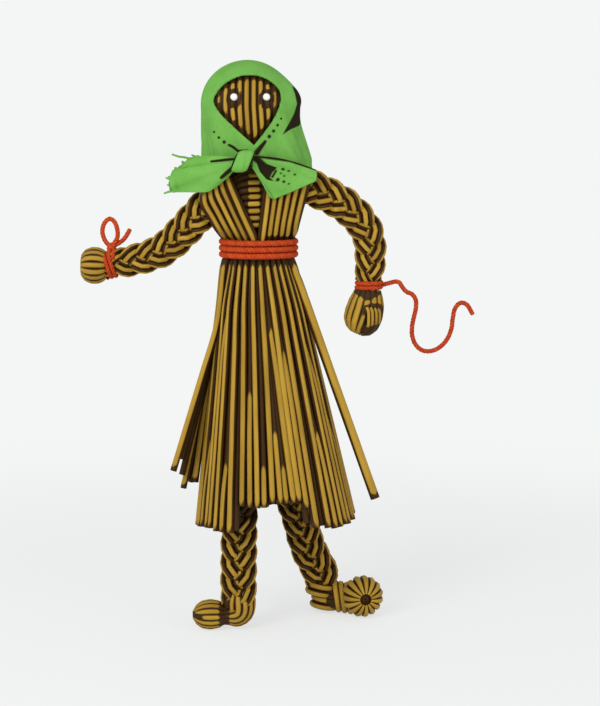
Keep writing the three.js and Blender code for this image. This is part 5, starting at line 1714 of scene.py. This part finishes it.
right_end = scarf_end("scarf_right_end_cloth", "scarf_right_tail", RIGHT_END, right_marks)

# %% [markdown]
# ## Knot of the scarf
# The knot is a band of gathered cloth that goes over the two ends. It starts as a ball, is drawn
# to a rounded block that leans a little, and pleats run down its front. Its two sides are painted
# dark, as the shade where the ends come out.

# %% Scarf knot
KNOT_SIZE = Vector((5.0, 4.0, 5.7))
KNOT_LEAN = 2.3
bm, crease = new_cloth(
    bmesh.ops.create_uvsphere, 0.006, 0.007, UP, u_segments=56, v_segments=32, radius=1
)
for vertex in bm.verts:
    blocky = sum(abs(c) ** 3 for c in vertex.co) ** (-1 / 3)
    x, y, z = vertex.co * blocky
    pleat = 1 + 0.07 * math.cos(8 * x + 1.6 * z) * max(-y, 0)
    spot = Vector((x * KNOT_SIZE.x + KNOT_LEAN * z, y * KNOT_SIZE.y * pleat, z * KNOT_SIZE.z))
    # Painted shade on the two sides of the knot.
    vertex[crease] = ramp(abs(x), 0.74, 0.86) * ramp(y, 0.1, -0.3)
    vertex.co = place(*(KNOT + spot))
knot = cloth_piece(bm, "scarf_knot_cloth", "scarf_knot")

# %% [markdown]
# ## Frayed edge
# The left end of the scarf is torn, not hemmed, so threads stand off its edge. They are short
# strands of the cloth's own green, and two long ones hang off at the corners.

# %% Frayed edge
FRAYED = 0.67
FRAY_THREADS = 27
LONG_THREADS = [
    [(-33.5, -19, 249.2), (-37, -19.4, 250.4), (-40, -19.4, 250.8), (-43.8, -19.2, 252)],
    [(-42.4, -18.6, 233.3), (-45.4, -18.6, 232.9), (-48, -18.4, 232)],
]
# The third colour is the painted shade between strands.
green_thread = group_finish(
    "green_thread", thread_grain, [(0.15, 0.42, 0.072), (0.115, 0.34, 0.05), (0.05, 0.14, 0.025)],
    bump=0.4, gloss=0.12,
)


def loose_thread(bm, points, thick, tip):
    """A thread that gets thinner towards its tip."""
    line = line_through(points, 0.8)
    taper = [mix(1.0, tip, k / (len(line) - 1)) for k in range(len(line))]
    lay_strand(bm, line, thick, [FRONT] * len(line), widths=taper, sides=5)


bm = new_piece()
for i in range(FRAY_THREADS):
    down = i / (FRAY_THREADS - 1) * FRAYED
    root, tip = [tail_place(*LEFT_END, out, down) for out in (0.9, 0.99)]
    length = chance.uniform(0.5, 2.4)
    heading = Vector((-1, 0, 0.3 - 0.5 * down + chance.uniform(-0.3, 0.3)))
    bend = Vector((0, chance.uniform(-0.5, 0.2), chance.uniform(-0.4, 0.4)))
    end = tip + heading * length + bend
    loose_thread(bm, (root, tip, tip + heading * length * 0.5, end), 1.5, 0.6)
for points in LONG_THREADS:
    loose_thread(bm, points, 1.4, 0.7)
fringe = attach(finish_piece(bm, "scarf_left_fringe", green_thread), "torso")

# %% [markdown]
# ## The whole scarf
# The scarf was cut as a square and folded to a triangle. Its hood, ends, knot and fringe are made
# above as pieces of their own.

print("scarf: hood, two ends, knot and fringe")

# %% [markdown]
# ## Floor and background
# The floor is pale and keeps the doll's soft shadow. Where the camera sees it, part of its
# brightness is its own, and more of it further off, so that it runs into the plain background
# without a line.

# %% Floor
PAPER = (0.905, 0.922, 0.914, 1)
PALE = (0.86, 0.87, 0.87, 1)
FLOOR_HALF = 6


def seen_directly(tree):
    """1 where the camera sees a surface itself, or in a reflection or through glass."""
    rays = add_node(tree, "ShaderNodeLightPath").outputs
    first = work_out(tree, "MAXIMUM", rays["Is Camera Ray"], rays["Is Glossy Ray"])
    return work_out(tree, "MAXIMUM", first, rays["Is Transmission Ray"])


def blend_shaders(tree, factor, first, second, output):
    """Mixes two shaders by a factor and feeds an output node."""
    inputs = {0: factor, 1: first.outputs[0], 2: second.outputs[0]}
    joined = add_node(tree, "ShaderNodeMixShader", inputs).outputs[0]
    feed(tree, tree.nodes[output], {"Surface": joined})


bm = bmesh.new()
bmesh.ops.create_grid(bm, x_segments=1, y_segments=1, size=FLOOR_HALF)
mesh = bpy.data.meshes.new("pale_floor")
bm.to_mesh(mesh)
bm.free()
floor = bpy.data.objects.new("pale_floor", mesh)
bpy.context.scene.collection.objects.link(floor)
pale, tree = new_material("pale_floor")
tree.nodes.remove(tree.nodes["Principled BSDF"])
matt = add_node(tree, "ShaderNodeBsdfDiffuse", {"Color": PALE})
glow = add_node(tree, "ShaderNodeEmission", {"Color": PAPER})
far_off = add_node(tree, "ShaderNodeVectorMath", {0: on_object(tree)}, operation="LENGTH")
own_light = spread(tree, far_off.outputs["Value"], 0.15, 0.6, 0.72, 1.0)
shown = work_out(tree, "MULTIPLY", own_light, seen_directly(tree))
blend_shaders(tree, shown, matt, glow, "Material Output")
mesh.materials.append(pale)
print("floor", 2 * FLOOR_HALF, "m wide")

# %% [markdown]
# ## Light
# Soft light all round comes from the world, a large lamp at the upper left gives the straws their
# shape, and a weaker one at the right opens the shadows.

# %% World and lamps
LAMP_AIM = Vector((0, 0, 0.15))
world = bpy.data.worlds.new("studio")
bpy.context.scene.world = world
world.use_nodes = True
tree = world.node_tree
sky = tree.nodes["Background"]
feed(tree, sky, {"Color": (1, 1, 1, 1), "Strength": 0.55})
paper = add_node(tree, "ShaderNodeBackground", {"Color": PAPER})
blend_shaders(tree, seen_directly(tree), sky, paper, "World Output")


def lamp(name, spot, size, watts):
    """A square area lamp that faces the doll."""
    data = bpy.data.lights.new(name, "AREA")
    data.size = size
    data.energy = watts
    made = bpy.data.objects.new(name, data)
    made.location = spot
    made.rotation_euler = (LAMP_AIM - made.location).to_track_quat("-Z", "Y").to_euler()
    bpy.context.scene.collection.objects.link(made)
    print(name, watts, "W")


lamp("key_lamp", Vector((-0.6, -0.9, 0.8)), 0.6, 9.0)
lamp("fill_lamp", Vector((0.8, -0.8, 0.35)), 0.8, 3.5)
